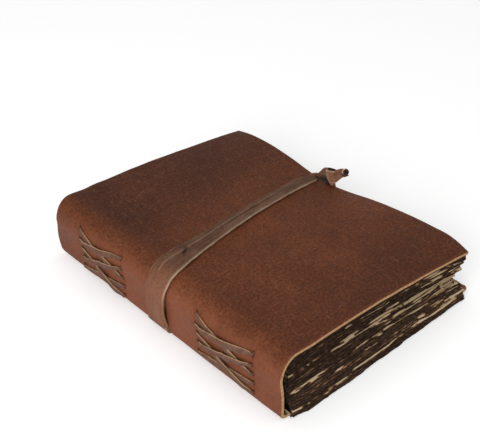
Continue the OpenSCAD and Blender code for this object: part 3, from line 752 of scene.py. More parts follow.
@dataclass
class Lacing:
    """Two closed thongs, laced in crossing runs through the slits of the spine.

    Attributes:
        far: Far slit that the run from each near slit goes to, from the top.
        rank: Where two runs cross, the one of higher rank lies on the other.
    """

    form: Form
    count: int = 5
    far: tuple[int, ...] = (1, 3, 0, 4, 2)
    rank: tuple[int, ...] = (2, 2, 1, 0, 1)
    groups: tuple[Slits, ...] = (Slits("lacing_far", 32.9, 75.4, 8.6, 4.5, 11),
                                 Slits("lacing_near", -80.7, -35.8, 8.4, 5.8, 41))
    wide: float = 4.0
    thick: float = 1.1
    gap: float = 0.2
    bend: float = 0.85

    def z(self, slits: Slits, k: Array | int) -> Array:
        """Height of slit k, counted from the top."""
        return mix(self.form.height - slits.drop, slits.low, np.asarray(k) / (self.count - 1))

    def height(self, slits: Slits, k: int, t: Array) -> Array:
        """Height of run k at share t of its way."""
        return mix(self.z(slits, k), self.z(slits, self.far[k]), t)

    def raised(self, slits: Slits, k: int, t: Array) -> Array:
        """Share of a thong's thickness by which a run lies above lower runs.

        Args:
            slits: The rows of slits it is laced through.
            k: Near slit that the run starts from.
            t: Shares of its way.

        Returns:
            The shares, by smoothstep of the distance to the lower runs, fading
            out at both ends of the way.
        """
        over = np.zeros_like(t)
        for j in range(self.count):
            if self.rank[j] < self.rank[k]:
                near = np.abs(self.height(slits, k, t) - self.height(slits, j, t))
                over = np.maximum(over, smooth(1 - (near - 4.0) / 6.5))
        return over * smooth(t / 0.16) * smooth((1 - t) / 0.16)

    def end(self, y: float, z: float, side: float) -> tuple[Array, Array]:
        """One end of a run: a quarter circle into its slit and a straight piece behind it.

        Args:
            y: Place of the slit along Y.
            z: Height of the slit.
            side: 1 at the near slit, -1 at the far one.

        Returns:
            Middle line and outward directions, from inside to outside.
        """
        b = np.radians(np.linspace(0, 90, 7)[:-1])
        x = float(self.form.spine_x(np.array(z))) - self.gap - self.thick / 2 + self.bend
        inner = grid(x + np.array([3.4, 1.6]), y, z)
        curve = grid(x - self.bend * np.sin(b), y + side * self.bend * (1 - np.cos(b)), z)
        out = grid(-np.sin(b), -side * np.cos(b), 0.0)
        return np.concatenate([inner, curve]), np.concatenate([np.tile([[0, -side, 0]], (2, 1)), out])

    def run(self, mesh: Mesh, slits: Slits, k: int) -> None:
        """Adds one outer run with both its ends turned into their slits.

        The middle line follows the spine's face half a thickness and a small
        gap off it, and sags a little between the slits. Sections are rounded
        bars that stand upright along the face, as the slits do, and draw
        together towards both slits, more so at the far one.

        Args:
            mesh: Mesh that takes the run.
            slits: The rows of slits it is laced through.
            k: Near slit that the run starts from.
        """
        seed = slits.seed + k
        t = np.linspace(0, 1, 56)
        arch = np.sin(np.pi * t)
        z = self.height(slits, k, t) + (0.55 * drift(t * 5, 0.3, seed) - 0.8) * arch
        y = mix(slits.near + self.bend, slits.far - self.bend, t)
        over = (self.thick + self.gap) * self.raised(slits, k, t) + 0.25 * arch
        x = self.form.spine_x(z) - self.gap - self.thick / 2 - over
        tilt = self.form.spine_x(z + 0.5) - self.form.spine_x(z - 0.5)
        near_line, near_out = self.end(slits.near, float(self.z(slits, k)), 1.0)
        far_line, far_out = self.end(slits.far, float(self.z(slits, self.far[k])), -1.0)
        line = np.concatenate([near_line, grid(x, y, z), far_line[::-1]])
        out = unit(np.concatenate([near_out, unit(grid(-1.0, 0.0, tilt)), far_out[::-1]]))
        up = unit(grid(np.pad(tilt, len(near_line)), 0.0, 1.0))
        way = np.linspace(0, 1, len(line))
        taper = np.interp(way, [0, 0.13, 0.22, 0.4, 0.65, 0.86, 1], [0.5, 0.62, 0.85, 1.08, 0.98, 0.58, 0.45])
        w = self.wide / 2 * taper * (1 + 0.07 * drift(way * 5, 1.7, seed + 9))
        across = np.array([-1, -0.7, 0.0, 0.84, 1, 1, 0.84, 0.0, -0.7, -1])
        proud = np.array([0.45, 1.0, 1.08, 1.0, 0.5, -0.55, -1, -1, -1, -0.55]) * self.thick / 2 * 0.85
        rings = line[:, None] + up[:, None] * grid(w[:, None] * across) + out[:, None] * proud[None, :, None]
        s = distance(*line.T)
        tips = smooth((s - 4.2) / 1.5) * smooth((s[-1] - s - 4.2) / 1.5)
        raw = np.array([0, 0, 0.0, 0.05, 1.0, 0.5, 0, 0, 0, 0])
        mesh.tube(rings, grid(s[:, None] + seed * 37, across * 2), edge=tips[:, None] * raw)

    def build(self, thong: Finish) -> None:
        """Makes the far and the near thong.

        Args:
            thong: Material of the thongs.
        """
        for slits in self.groups:
            mesh = Mesh()
            for k in range(self.count):
                self.run(mesh, slits, k)
            obj = mesh.build(slits.name + "_thong", [thong])
            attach(obj, "book")
            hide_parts(slits.name)


@dataclass
class Hide:
    """The one piece of leather that makes both covers and the spine."""

    form: Form
    lacing: Lacing
    seam_z: float = 2.2

    def columns(self) -> Array:
        """Stations along Y: 1.9 mm apart, closer at both ends, the slits and the strap.

        Returns:
            The stations, at least 0.12 mm apart.
        """
        half = self.form.half
        ends = np.array([0.35, 0.9])
        at_slits = [row + d for slits in self.lacing.groups for row in slits.rows
                    for d in (-1.5, -0.75, -0.35, 0.0, 0.35, 0.75, 1.5)]
        flanks = [self.form.strap_y + side * (self.form.strap_w / 2 + d)
                  for side in (-1, 1) for d in (-0.3, 0.4, 1.1, 1.8, 2.5, 3.0)]
        y = np.linspace(-half, half, 108)
        y = np.sort(np.concatenate([y, ends - half, half - ends, at_slits, flanks]))
        return y[np.concatenate([[True], np.diff(y) > 0.12])]

    def cuts(self, x: Array, y: Array, z: Array, nz: Array) -> tuple[Array, Array, Array]:
        """Dents round the slits: a narrow cut in the middle of a shallow bell.

        Args:
            x: Places along X, a column.
            y: Stations along Y, a row.
            z: Heights, a column.
            nz: Z part of the outward normal, a column.

        Returns:
            Depth of the dents, share of the cut, which masks the painted shade in the slits, and share of the
            spine's face.
        """
        dent = np.zeros(np.broadcast_shapes(x.shape, y.shape))
        # The cut's share masks the near-black painted shade in the slits.
        slit = np.zeros_like(dent)
        spine = smooth((0.35 - nz) / 0.3) * smooth((z - 1.0) / 2)
        spine = np.maximum(spine, smooth((z - 25) / 4) * smooth((8 - x) / 3))
        for slits in self.lacing.groups:
            for k in range(self.lacing.count):
                dz = np.abs(z - float(self.lacing.z(slits, k)))
                for row in slits.rows:
                    dy = np.abs(y - row)
                    cut = smooth((0.80 - dy) / 0.5) * smooth((2.0 - dz) / 0.8)
                    dent += 1.1 * cut + 0.30 * bell(dy, 0, 3.2) * bell(dz, 0, 3.6)
                    slit = np.maximum(slit, cut)
        return dent, slit, spine

    def sheet(self, path: Path, y: Array) -> tuple[Array, Array, Array, dict[str, Array]]:
        """Works out a stretch of the hide.

        Outer points are the section plus the front cover's drape, a shallow
        hollow behind the shoulder, gentle unevenness, and dents round the
        slits; inner points lie a leather's thickness inside them. The cut
        borders are eased down by a quarter of a millimetre. At the far end the
        wall bulges out and the foot draws in, both as bells along the section.

        Args:
            path: Stretch of the section, rows.
            y: Stations along Y, columns.

        Returns:
            Outer points, inner points, flat coordinates, and the named values of wear and highlight, of shade
            and darkening, and of the painted shade in the slits.
        """
        form = self.form
        x, nx, nz, s = path.x[:, None], path.nx[:, None], path.nz[:, None], path.s[:, None]
        y = y[None, :]
        level, over = path.z[:, None], form.over_strap(y)
        upper, beneath = nz > 0.5, nz < -0.5
        on_cover = smooth((nz - 0.9) / 0.1) * (x > form.shoulder_w - 2)
        z = np.where((x > form.shoulder_w) & upper, form.top(x, y), level)
        z = z + form.strap_rise * over * path.lift[:, None]
        hollow = bell(x - 3.2 * drift(y / 26, 0.5, 3), 24, 6.0)
        off = on_cover * (0.28 * drift(x / 19, y / 23, 5) - 0.55 * hollow * (1 - 0.8 * over))
        off = (off + 0.16 * drift(s / 9, y / 11, 6)) * (1 - smooth((-nz - 0.5) / 0.4))
        dent, slit, spine = self.cuts(x, y, level, nz)
        rise = grid(nx, 0 * y, nz)
        plan_x, plan_y = form.back_plan(x, y)
        far_end = smooth((y - form.half + 22) / 22)
        base_y = np.where(beneath, plan_y, y) + (3.6 * bell(s, 181, 9.5) - 2.6 * bell(s, 197, 5.0)) * far_end
        outer = grid(np.where(beneath, plan_x, x), base_y, z) + rise * (off - dent * spine)[:, :, None]
        thick = form.leather * (1 + 0.04 * drift(s / 30, y / 30, 8)) - np.minimum(dent * spine, 0.6)
        inner = outer - rise * thick[:, :, None]
        to_end = np.abs(np.abs(y) - form.half)
        border = np.where(upper, np.minimum(to_end, np.abs(x - form.width)), to_end)
        outer = outer - rise * 0.25 * smooth((0.5 - border) / 0.5)[:, :, None]
        # Lighter spine: partly the rubbed bend of pull-up leather, partly painted light on the spine; it
        # falls off towards both ends as painted shade. The light band along the cut borders is partly rubbed
        # wear, partly a painted highlight.
        way = s - 3.5 * drift(y / 21, 0.5, 10) - 1.5 * drift(y / 8, 2.5, 12)
        fade = 1 - 0.66 * smooth((y - 48) / 48) - 0.20 * smooth((-y - 60) / 35)
        wear = (0.80 * fade + 0.18 * drift(way / 14, y / 17, 9)) * smooth((way - 150) / 15)
        wear = wear * smooth((212 - way) / 10) + 0.35 * smooth((2.2 - border) / 2.2) * upper
        wear = np.clip(wear - 0.5 * np.minimum(dent, 1.0) * spine, 0, 1)
        # Painted shade in a band behind the shoulder, at way 137, and a darkening towards the far end and
        # towards the near end at the fore side.
        far_wax = 0.80 * smooth((y - 0.16 * x) / 55)
        near_wax = 0.62 * smooth((-y - 40) / 50) * smooth((x - 8) / 60)
        wax = 0.40 * bell(way, 137, 14) + (far_wax + near_wax) * smooth((152 - way) / 20)
        wax = np.clip(wax + 0.15 * drift(way / 24, y / 27, 13), 0, 1) * (nz > 0)
        return outer, inner, grid(s, y), {"wear": wear, "wax": wax, "slit": np.clip(slit * spine * 1.4, 0, 1)}

    def build(self, finishes: list[Finish]) -> None:
        """Makes the hide in two lengths that meet at the foot of the spine.

        Args:
            finishes: Materials of the grain, the flesh side and the cut edge.
        """
        path = Path.round(self.form)
        y = self.columns()
        foot = int(np.argmax((path.z < self.seam_z) & (path.x < self.form.shoulder_w)))
        names = (("cover_front_and_spine", slice(0, foot + 1), "front_cover", ("front_cover", "spine"),
                  (9, 19)),
                 ("cover_foot_and_back", slice(foot, None), "back_cover", ("back_cover",), (3, 12)))
        for name, rows, body, nodes, (start, end) in names:
            outer, inner, flat, values = self.sheet(path.part(rows), y)
            mesh = Mesh()
            mesh.sheet(outer, inner, flat, **values)
            obj = mesh.build(name, finishes)
            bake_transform(obj)
            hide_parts(*nodes)


@dataclass
class Pages:
    """Gatherings of handmade paper: torn, scorched leaves round a solid core.

    Attributes:
        bare: Patches of bare paper: X and share of the height of their start
            and of their end, their width as a share, and how bare they are.
    """

    form: Form
    leaves: int = 58
    gatherings: int = 5
    fore_inset: float = 3.0
    end_inset: float = 1.6
    flare: float = 7.3
    droop: float = 2.0
    clearance: float = 0.35
    valley: float = 2.4
    lip: float = 10.0
    step: float = 1.3
    bare: tuple[tuple[float, ...], ...] = (
        (43, 0.90, 59, 0.83, 0.012, 0.7), (36, 0.60, 54, 0.575, 0.009, 0.7),
        (46, 0.625, 64, 0.60, 0.024, 0.9), (64, 0.57, 92, 0.45, 0.010, 0.8),
        (84, 0.46, 126, 0.43, 0.024, 0.9), (118, 0.47, 157, 0.50, 0.022, 0.9),
        (98, 0.62, 132, 0.66, 0.008, 0.7), (120, 0.77, 140, 0.75, 0.014, 0.7),
        (17, 0.345, 36, 0.29, 0.014, 0.8), (8, 0.33, 21, 0.30, 0.011, 0.8),
        (100, 0.20, 125, 0.18, 0.012, 0.42), (122, 0.17, 155, 0.14, 0.026, 0.42),
        (70, 0.33, 86, 0.31, 0.009, 0.7), (46, 0.16, 64, 0.10, 0.009, 0.42),
        (2, 0.08, 18, 0.06, 0.02, 0.5))

    @property
    def fore_x(self) -> float:
        """Middle of the torn fore edge."""
        return self.form.width - self.fore_inset

    @property
    def end_y(self) -> float:
        """Middle of the torn far end, and of the near one above the flare."""
        return self.form.half - self.end_inset

    def near_y(self, share: Array, x: Real) -> Array:
        """Near end: the lowest leaves spread out by a 1.6th power, less near the spine."""
        spread = np.interp(x, [2, 9, 20, 32, 60, 150], [0.58, 0.64, 0.92, 1.02, 0.93, 0.87])
        return -self.end_y - self.flare * np.clip(1 - share / 0.55, 0, 1) ** 1.6 * spread

    def left(self, share: Array) -> Array:
        """Back of the leaves: inside the spine, each gathering's back an ellipse.

        Args:
            share: Shares of the height.

        Returns:
            Places along X.
        """
        form = self.form
        low, high = form.leather + self.clearance, form.height - form.leather - self.clearance
        x = form.spine_x(mix(low, high, share), form.leather)
        v = 2 * np.mod(share * self.gatherings + 0.02, 1.0) - 1
        return x + self.clearance + self.valley * (1 - np.sqrt(np.maximum(0, 1 - 0.94 * v * v)))

    def z(self, x: Array, y: Array, share: Array) -> Array:
        """Height at a share between the groove over the strap and the cover's drape.

        Leaves fan out towards the near-fore corner, and the lowest ones droop
        over the back cover's near end.

        Args:
            x: Places along X.
            y: Places along Y.
            share: Shares of the height.

        Returns:
            The heights.
        """
        form = self.form
        low = form.leather + self.clearance + form.strap_rise * form.over_strap(y)
        high = form.top(x, y) - form.leather - self.clearance
        warped = share - 0.15 * smooth((x - 80) / 75) * smooth((-y - 40) / 60) * bell(share, 0.52, 0.24)
        over = smooth((-y - self.end_y) / 4.5) * np.clip(1 - share / 0.4, 0, 1)
        return mix(low, high, warped) - self.droop * over

    def near_corner(self, x: Array, y: Array, reach: float, squeeze: float = 1.0) -> Array:
        """Bell round the near-fore corner, squeezed along X."""
        return bell(np.hypot((x - self.fore_x) * squeeze, y + self.end_y), 0, reach)

    def outline(self, leaf: Array, share: Array) -> tuple[Array, ...]:
        """Torn outline of each leaf, from the spine's near end round to its far end.

        The straight outline moves outwards by waves shared by a bundle of three
        leaves, finer waves of the single leaf and ragged teeth. Some leaves near
        the near-fore corner stand back from it and some upper ones curl out.

        Args:
            leaf: Number of each leaf, a column.
            share: Its share of the height, a column.

        Returns:
            X and Y of the outline, the outward direction's X and Y parts, and
            the distance along the outline.
        """
        x1, y1 = self.fore_x, self.end_y
        n_end, n_fore = int(x1 / self.step), int(2 * y1 / self.step)
        x0 = self.left(share)
        u = np.linspace(0, 1, n_end)[None]
        near_x, far_x = mix(x0, x1, u), mix(x1, x0, u)
        x = np.concatenate([near_x, np.broadcast_to(x1, (len(leaf), n_fore)), far_x], 1)
        v = np.linspace(0, 1, n_fore + 2)[1:-1]
        near = self.near_y(share, near_x)
        y = np.concatenate([near, mix(near[:, -1:], y1, v[None]), y1 + 0 * far_x], 1)
        run = np.arange(x.shape[1])[None] * self.step
        straight = n_end - 2
        dx = np.concatenate([np.zeros(straight), [0.4, 0.7], np.ones(n_fore), [0.7, 0.4], np.zeros(straight)])
        dy = np.concatenate([-np.ones(straight), [-0.9, -0.7], np.zeros(n_fore), [0.7, 0.9],
                             np.ones(straight)])
        dx, dy = dx + 0 * x, dy + 0 * x
        torn = 0.55 * drift(run / 26, np.floor(leaf / 3) * 1.37, 21) + 0.50 * drift(leaf * 1.9, 0.4, 25)
        for height, wave, pace, seed in ((0.42, 11, 2.3, 22), (0.20, 3.7, 3.1, 23), (0.14, 1.9, 4.7, 24)):
            torn = torn + height * drift(run / wave, leaf * pace, seed)
        back = smooth((share - 0.36) / 0.03) * smooth((0.70 - share) / 0.12)
        torn = torn - (4.6 * self.near_corner(x, y, 12.0, 0.34) * back
                       * (1 + 0.35 * drift(leaf * 1.3, 2.2, 26)))
        curl = smooth((share - 0.80) / 0.04) * self.near_corner(x, y, 10.0)
        torn = torn + curl * (1.9 + 0.9 * drift(leaf * 2.1, 0.7, 27))
        ends = np.minimum(np.arange(x.shape[1]), np.arange(x.shape[1])[::-1])
        torn = torn * mix(0.35, 1.0, smooth(ends / 5))
        return x + dx * torn, y + dy * torn, dx, dy, run

    @staticmethod
    def hidden(run: Array) -> Array:
        """Share by which a point lies in the last 4 mm of the outline, at the spine, which is painted dark as
        shade.
        """
        return 1 - smooth(np.minimum(run, run[:, -1:] - run) / 4)

    def scorch(self, x: Array, leaf: Array, share: Array, run: Array) -> Array:
        """Burn of the torn edges, 0 cream to 1 black, in long streaks, with painted shade where the leaves
        run into the spine.

        Streaks are seeded waves along the leaf, 62, 21, 7 and 2.2 mm long, that
        differ from leaf to leaf. Cream is rare near the spine and grows common
        towards the fore edge; the patches of bare paper that catch the eye at
        the near end are added where they are.

        Args:
            x: Places along X.
            leaf: Number of each leaf, a column.
            share: Its share of the height, a column.
            run: Distance along the outline.

        Returns:
            The burn, in the shape of x.
        """
        cream = np.interp(x, [0, 35, 80, 130, self.fore_x], [-0.26, -0.15, -0.05, 0.12, 0.18])
        for height, wave, pace, seed in ((0.54, 62, 3.7, 34), (0.34, 21, 5.3, 35), (0.17, 7, 7.1, 36),
                                         (0.09, 2.2, 3.3, 37)):
            cream = cream + height * drift(run / wave, leaf * pace, seed)
        patches = np.zeros_like(x)
        for x0, share0, x1, share1, wide, bareness in self.bare:
            way = (x - x0) / (x1 - x0)
            middle = mix(share0, share1, np.clip(way, 0, 1))
            across = (share - middle) / (wide * (1 + 0.3 * drift(run / 7, 0.5, 38)))
            ends = smooth(way / 0.4) * smooth((1 - way) / 0.4)
            patches = np.maximum(patches, bareness * bell(across, 0, 1) * ends * (run < 180))
        cream = cream + patches - 0.5 * smooth((0.05 - share) / 0.03)
        burn = 0.95 - 0.88 * smooth((cream - 0.24) / 0.22) + 0.10 * drift(run / 2.4, leaf * 7.7, 39)
        # Painted shade: the last 4 mm at the spine go dark.
        return np.clip(np.maximum(burn, self.hidden(run)), 0, 1)

    def leaf_ring(self, edge: tuple[Array, ...], depth: float, share: Array) -> Array:
        """Points of the leaves behind their torn edge.

        Args:
            edge: X and Y of the torn edge and its outward direction's parts.
            depth: Distance behind the edge.
            share: Shares of the height.

        Returns:
            The points, leaves x along x 3.
        """
        x, y, dx, dy = edge
        x = np.clip(x - dx * depth, 8.0, None)
        y = np.clip(y - dy * depth, -self.form.half - 6, self.form.half)
        return grid(x, y, self.z(x, y, share))

    def build(self, paper: Finish) -> None:
        """Makes the leaves' rims in two heights, and the core with the outer pages.

        Every leaf is a closed strip behind its torn edge: underside, rounded
        torn lip, and upper face that turns from scorched to cream within 3 mm.

        Args:
            paper: Material of the leaves.
        """
        leaf = np.arange(self.leaves, dtype=float)[:, None]
        pitch = 1.0 / self.leaves
        share = (leaf + 0.5) * pitch
        *edge, run = self.outline(leaf, share)
        curl = 0.45 * smooth((share - 0.8) / 0.05) * self.near_corner(edge[0], edge[1], 12)
        flutter = (0.24 * drift(run / 17, leaf * 0.8, 31) + 0.16 * drift(run / 5, leaf * 1.9, 32)
                   + curl * drift(run / 6, leaf * 1.1, 40))
        half_t = pitch * (0.36 + 0.12 * drift(run / 9, leaf * 3.3, 33))
        burn = self.scorch(edge[0], leaf, share, run)
        # The underside keeps nine tenths of the burn 10 mm behind the edge while the upper face turns cream
        # within 3 mm: partly scorch, partly painted shade in the gaps between leaves.
        profile = [(self.lip, -pitch * 0.46, 0.0, 0.9), (0.35, -half_t, 1.0, 1.0), (0.0, 0.0, 1.0, 1.0),
                   (0.35, half_t, 1.0, 0.97), (1.1, half_t * 0.98, 0.9, 0.55), (3.0, half_t, 0.6, 0.12),
                   (self.lip, pitch * 0.46, 0.0, 0.0)]
        rings, scorch = [], []
        for depth, offset, shake, share_of_burn in profile:
            ring = self.leaf_ring(edge, depth, share + offset)
            ring[:, :, 2] += flutter * shake
            rings.append(ring)
            # Painted shade: the last 4 mm at the spine stay dark.
            scorch.append(np.clip(np.maximum(burn * share_of_burn + 0.02, 0.95 * self.hidden(run)), 0, 1))
        rings, scorch = np.stack(rings, 2), np.stack(scorch, 2)
        across = np.array([-10, -0.4, 0.0, 0.4, 1.2, 3.1, 10])
        middle = self.leaves // 2
        for name, first, last in (("page_leaves_lower", 0, middle),
                                  ("page_leaves_upper", middle, self.leaves)):
            mesh = Mesh()
            for i in range(first, last):
                mesh.tube(rings[i], grid(run[0][:, None], across + i * 11.0), burn=scorch[i])
            obj = mesh.build(name, [paper], 60)
            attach(obj, "book")
        self.core(paper)

    def face(self, share: float, inset: float, rows: int = 72, cols: int = 92) -> tuple[Array, Array]:
        """Grid over a whole page at a share of the height, and its burn towards the edges.

        Args:
            share: Share of the height.
            inset: Distance behind the middle of the torn edges.
            rows: Stations along X.
            cols: Stations along Y.

        Returns:
            Points, rows x cols x 3, and the burn of each.
        """
        us, vs = np.linspace(0, 1, rows)[:, None], np.linspace(0, 1, cols)[None]
        x = mix(float(self.left(np.array(share))) + 0.4, self.fore_x - inset, us) + 0 * vs
        near = self.near_y(share, x)
        y = mix(near + inset, self.end_y - inset, vs)
        wobble = 0.5 * drift(x / 9, y / 7, 51) + 0.4 * drift(x / 2.5, y / 3, 52)
        x = x + wobble * (us == 1)
        y = y + wobble * ((vs == 1) * 1.0 - (vs == 0) * 1.0)
        z = self.z(x, y, share) + 0.10 * drift(x / 17, y / 21, 53)
        border = np.minimum(np.minimum(self.fore_x - x, self.end_y - y), y - near)
        inwards = np.maximum(border, 0)
        burn = np.clip(0.98 - border / 2.6, 0, 1) * 0.9 + 0.35 * np.exp(-inwards / 9)
        burn = burn + 0.10 * drift(x / 5, y / 5, 54) * np.exp(-inwards / 12)
        return grid(x, y, z), np.clip(burn, 0, 1)

    def core(self, paper: Finish) -> None:
        """Makes the outer pages, top and bottom, and the closed block between the leaves.

        Args:
            paper: Material of the pages.
        """
        mesh = Mesh()
        for share, thick in ((1.0, 0.25), (0.0, -0.25)):
            points, burn = self.face(share, 0.8)
            mesh.sheet(points, points - [0, 0, thick], points[:, :, :2], (0, 0, 0), burn=burn)
        top, under = self.face(0.985, 8.5)[0], self.face(0.015, 8.5)[0]
        mesh.sheet(top, under, top[:, :, :2], (0, 0, 0), burn=0.6)
        obj = mesh.build("page_core", [paper])
        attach(obj, "book")
        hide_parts("page_block")


@dataclass
class Strap:
    """Wrap strap: under the journal, up the spine, over the front and into its knot."""

    form: Form
    slack: float = 1.2
    welt: float = 0.7
    under_end_w: float = 12.0

    def section(self, across: Array, welt: Array) -> Array:
        """Height of the strap's outer face above its inner one, at shares across.

        The far two fifths are a folded-over border that stands proud by the
        welt's height with a soft step; both borders are eased down.

        Args:
            across: Shares from the near border, 0, to the far one, 1.
            welt: Height of the border at each station, a column.

        Returns:
            Heights, stations x shares.
        """
        step = smooth((across - 0.60) / 0.07) * welt
        groove = -0.30 * bell(across, 0.575, 0.022) * np.minimum(welt / 0.4, 1)
        ease = -1.0 * smooth((0.05 - across) / 0.05) - 0.8 * smooth((across - 0.92) / 0.08)
        return self.form.strap_t + step + groove + ease

    def build(self, finishes: list[Finish]) -> None:
        """Makes the strap in two lengths that meet at the foot of the spine.

        The first one follows the front cover, the shoulder and the wall. Its
        middle line turns at the shoulder, rounded by a moving average whose
        weights are a bell of 11 mm, and its near border lifts off the leather.

        Args:
            finishes: Materials of the grain, the flesh side and the cut edge.
        """
        form = self.form
        across = np.array([0, 0.03, 0.07, 0.14, 0.24, 0.32, 0.38, 0.43, 0.48, 0.52, 0.56, 0.585, 0.61, 0.64,
                           0.68, 0.72, 0.77, 0.83, 0.90, 0.94, 0.975, 1.0])
        x = np.concatenate([np.linspace(form.width - 5.0, form.front_fold, 84), np.linspace(30.3, 19.6, 26)])
        x = np.sort(x)[::-1]
        bend_x, bend_z = form.shoulder(np.radians(np.linspace(90, 0, 30)[1:]))
        t = np.linspace(0, 1, 30)[1:]
        rest = len(bend_x) + len(t)
        base_x = np.concatenate([x, bend_x, form.wall(t)])
        base_z = np.concatenate([np.full(len(x), form.height), bend_z,
                                 mix(form.shoulder_z, form.foot_r + form.strap_rise, t)])
        stand = np.concatenate([np.zeros(len(x) + len(bend_x)), self.slack * np.sin(np.pi * t)])
        s, nx, nz = facing(base_x, base_z)
        shoulder_s = s[len(x) - 1]
        turn_s = shoulder_s + 13
        mid = np.concatenate([form.strap_mid(x), np.full(rest, form.strap_y)])
        weight = bell(s[:, None], s, 11) * np.gradient(s)
        mid = mix(mid, weight @ mid / weight.sum(1), np.exp(-((s - turn_s) / 34) ** 4))
        mid = mid - 2.0 * bell(s, turn_s, 11)
        wide = np.concatenate([form.strap_width(x), np.full(rest, form.strap_w)])
        wide = wide + 0.35 * drift(s / 14, 0.6, 61)
        on_front = smooth((x - form.front_fold + 6) / 12) * smooth((form.width * 0.78 - x) / 30)
        welt = self.welt * np.concatenate([on_front, 0.5 * smooth((20 - np.arange(rest)) / 20)])[:, None]
        y = mid[:, None] + (across - 0.5) * wide[:, None]
        y[:, 0] += 0.22 * drift(s / 3.1, 0.2, 62)
        y[:, -1] += 0.22 * drift(s / 3.7, 0.9, 63)
        on_top = (np.arange(len(s)) < len(x))[:, None]
        s, base_x, base_z, stand = s[:, None], base_x[:, None], base_z[:, None], stand[:, None]
        ground = np.where(on_top, form.top(base_x, y), base_z)
        wrinkle = 0.12 * drift(s / 5, across * 5, 64) + 0.10 * drift(s / 40, across * 9, 65)
        dx, dy = base_x - 24.9, y - 1.8
        pinch = bell(dx * 0.51 - dy * 0.86, 0, 0.75) * np.exp(-((dx * 0.86 + dy * 0.51) / 3.6) ** 4) * on_top
        high = self.section(across, welt) + wrinkle - 0.7 * pinch
        lifted = np.maximum(1.1 * smooth((s - shoulder_s - 2) / 16) * smooth((s[-1] - s) / 12),
                            0.45 * on_top * smooth((form.width - 12 - base_x) / 12))
        gap = form.strap_gap + stand + lifted * smooth((0.5 - across) / 0.5)
        inner, outer = (grid(base_x + nx[:, None] * off, y, ground + nz[:, None] * off)
                        for off in (gap, gap + high))
        # Pale rims and welt: partly rubbed wear, partly painted highlight; the near rim's highlight fades
        # down the spine.
        near_rim = smooth((0.045 - across) / 0.045) * (0.85 + 0.3 * drift(s / 9, 0.1, 67))
        near_rim = near_rim * (1 - 0.75 * smooth((s - turn_s - 2) / 12))
        far_rim = smooth((across - 0.95) / 0.05) * 0.30
        on_welt = 0.20 * bell(across, 0.66, 0.03) * (welt > 0.2)
        wear = np.clip(near_rim + far_rim + on_welt + 0.10 * drift(s / 22, across * 3, 66), 0, 1)
        # Painted shade in the fold groove along the welt and in the pinch.
        groove = 0.45 * np.minimum(welt / 0.5, 1) * (0.25 + 0.75 * smooth((62 - base_x) / 22))
        crease = np.clip(pinch + groove * bell(across, 0.575, 0.018), 0, 1)
        lines = 0.35 * bell(across, 0.30, 0.05) + 0.30 * bell(across, 0.82, 0.06) - 0.3 * (across > 0.7)
        warm = (0.95 + lines) * smooth((s - shoulder_s + 6) / 26) + 0.12 * drift(s / 11, across * 4, 68)
        mesh = Mesh()
        mesh.sheet(outer, inner, grid(s, across * STRAP_FLAT_W), wear=wear, crease=crease,
                   warm=np.clip(warm, 0, 1))
        obj = mesh.build("strap_over_front", finishes)
        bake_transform(obj)
        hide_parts("strap_spine")
        self.under(finishes, across)

    def under(self, finishes: list[Finish], across: Array) -> None:
        """Makes the length round the foot, beneath the journal and up at the fore edge.

        Both faces are a quarter circle, a straight run and a quarter circle
        that turns up, the outer one a strap's thickness outside the inner one.

        Args:
            finishes: Materials of the grain, the flesh side and the cut edge.
            across: Shares across the strap.
        """
        form = self.form
        b, c = np.radians(np.linspace(0, 90, 16)), np.radians(np.linspace(-90, 0, 8))
        cx, cz = form.lean + form.foot_r, form.foot_r + form.strap_rise
        x1, turn = form.back_w, form.turn_r
        run_x = np.linspace(cx + 2, x1 - 1, 60)
        faces = []
        for thick in (0.0, form.strap_t):
            r = form.foot_r + form.strap_gap + thick
            x = np.concatenate([cx - r * np.cos(b), run_x, x1 + (turn + thick) * np.cos(c),
                                [x1 + turn + thick]])
            z = np.concatenate([cz - r * np.sin(b), np.full(len(run_x), form.strap_t - thick),
                                form.strap_t + turn + (turn + thick) * np.sin(c),
                                [form.root_z - form.root_gap]])
            faces.append((x, z))
        go = np.clip((faces[0][0] - form.back_fold) / (x1 - form.back_fold), 0, 1)[:, None]
        y = form.strap_y + 2 * go + (across - 0.5) * mix(form.strap_w, self.under_end_w, go)
        inner, outer = (grid(fx[:, None], y, fz[:, None]) for fx, fz in faces)
        flat = grid(distance(*faces[1])[:, None] + 200, across * STRAP_FLAT_W)
        mesh = Mesh()
        mesh.sheet(outer, inner, flat, wear=0.6 * smooth((np.abs(across - 0.5) - 0.38) / 0.12), crease=0.0,
                   warm=0.7)
        obj = mesh.build("strap_beneath", finishes)
        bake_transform(obj)
        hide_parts("strap_under")


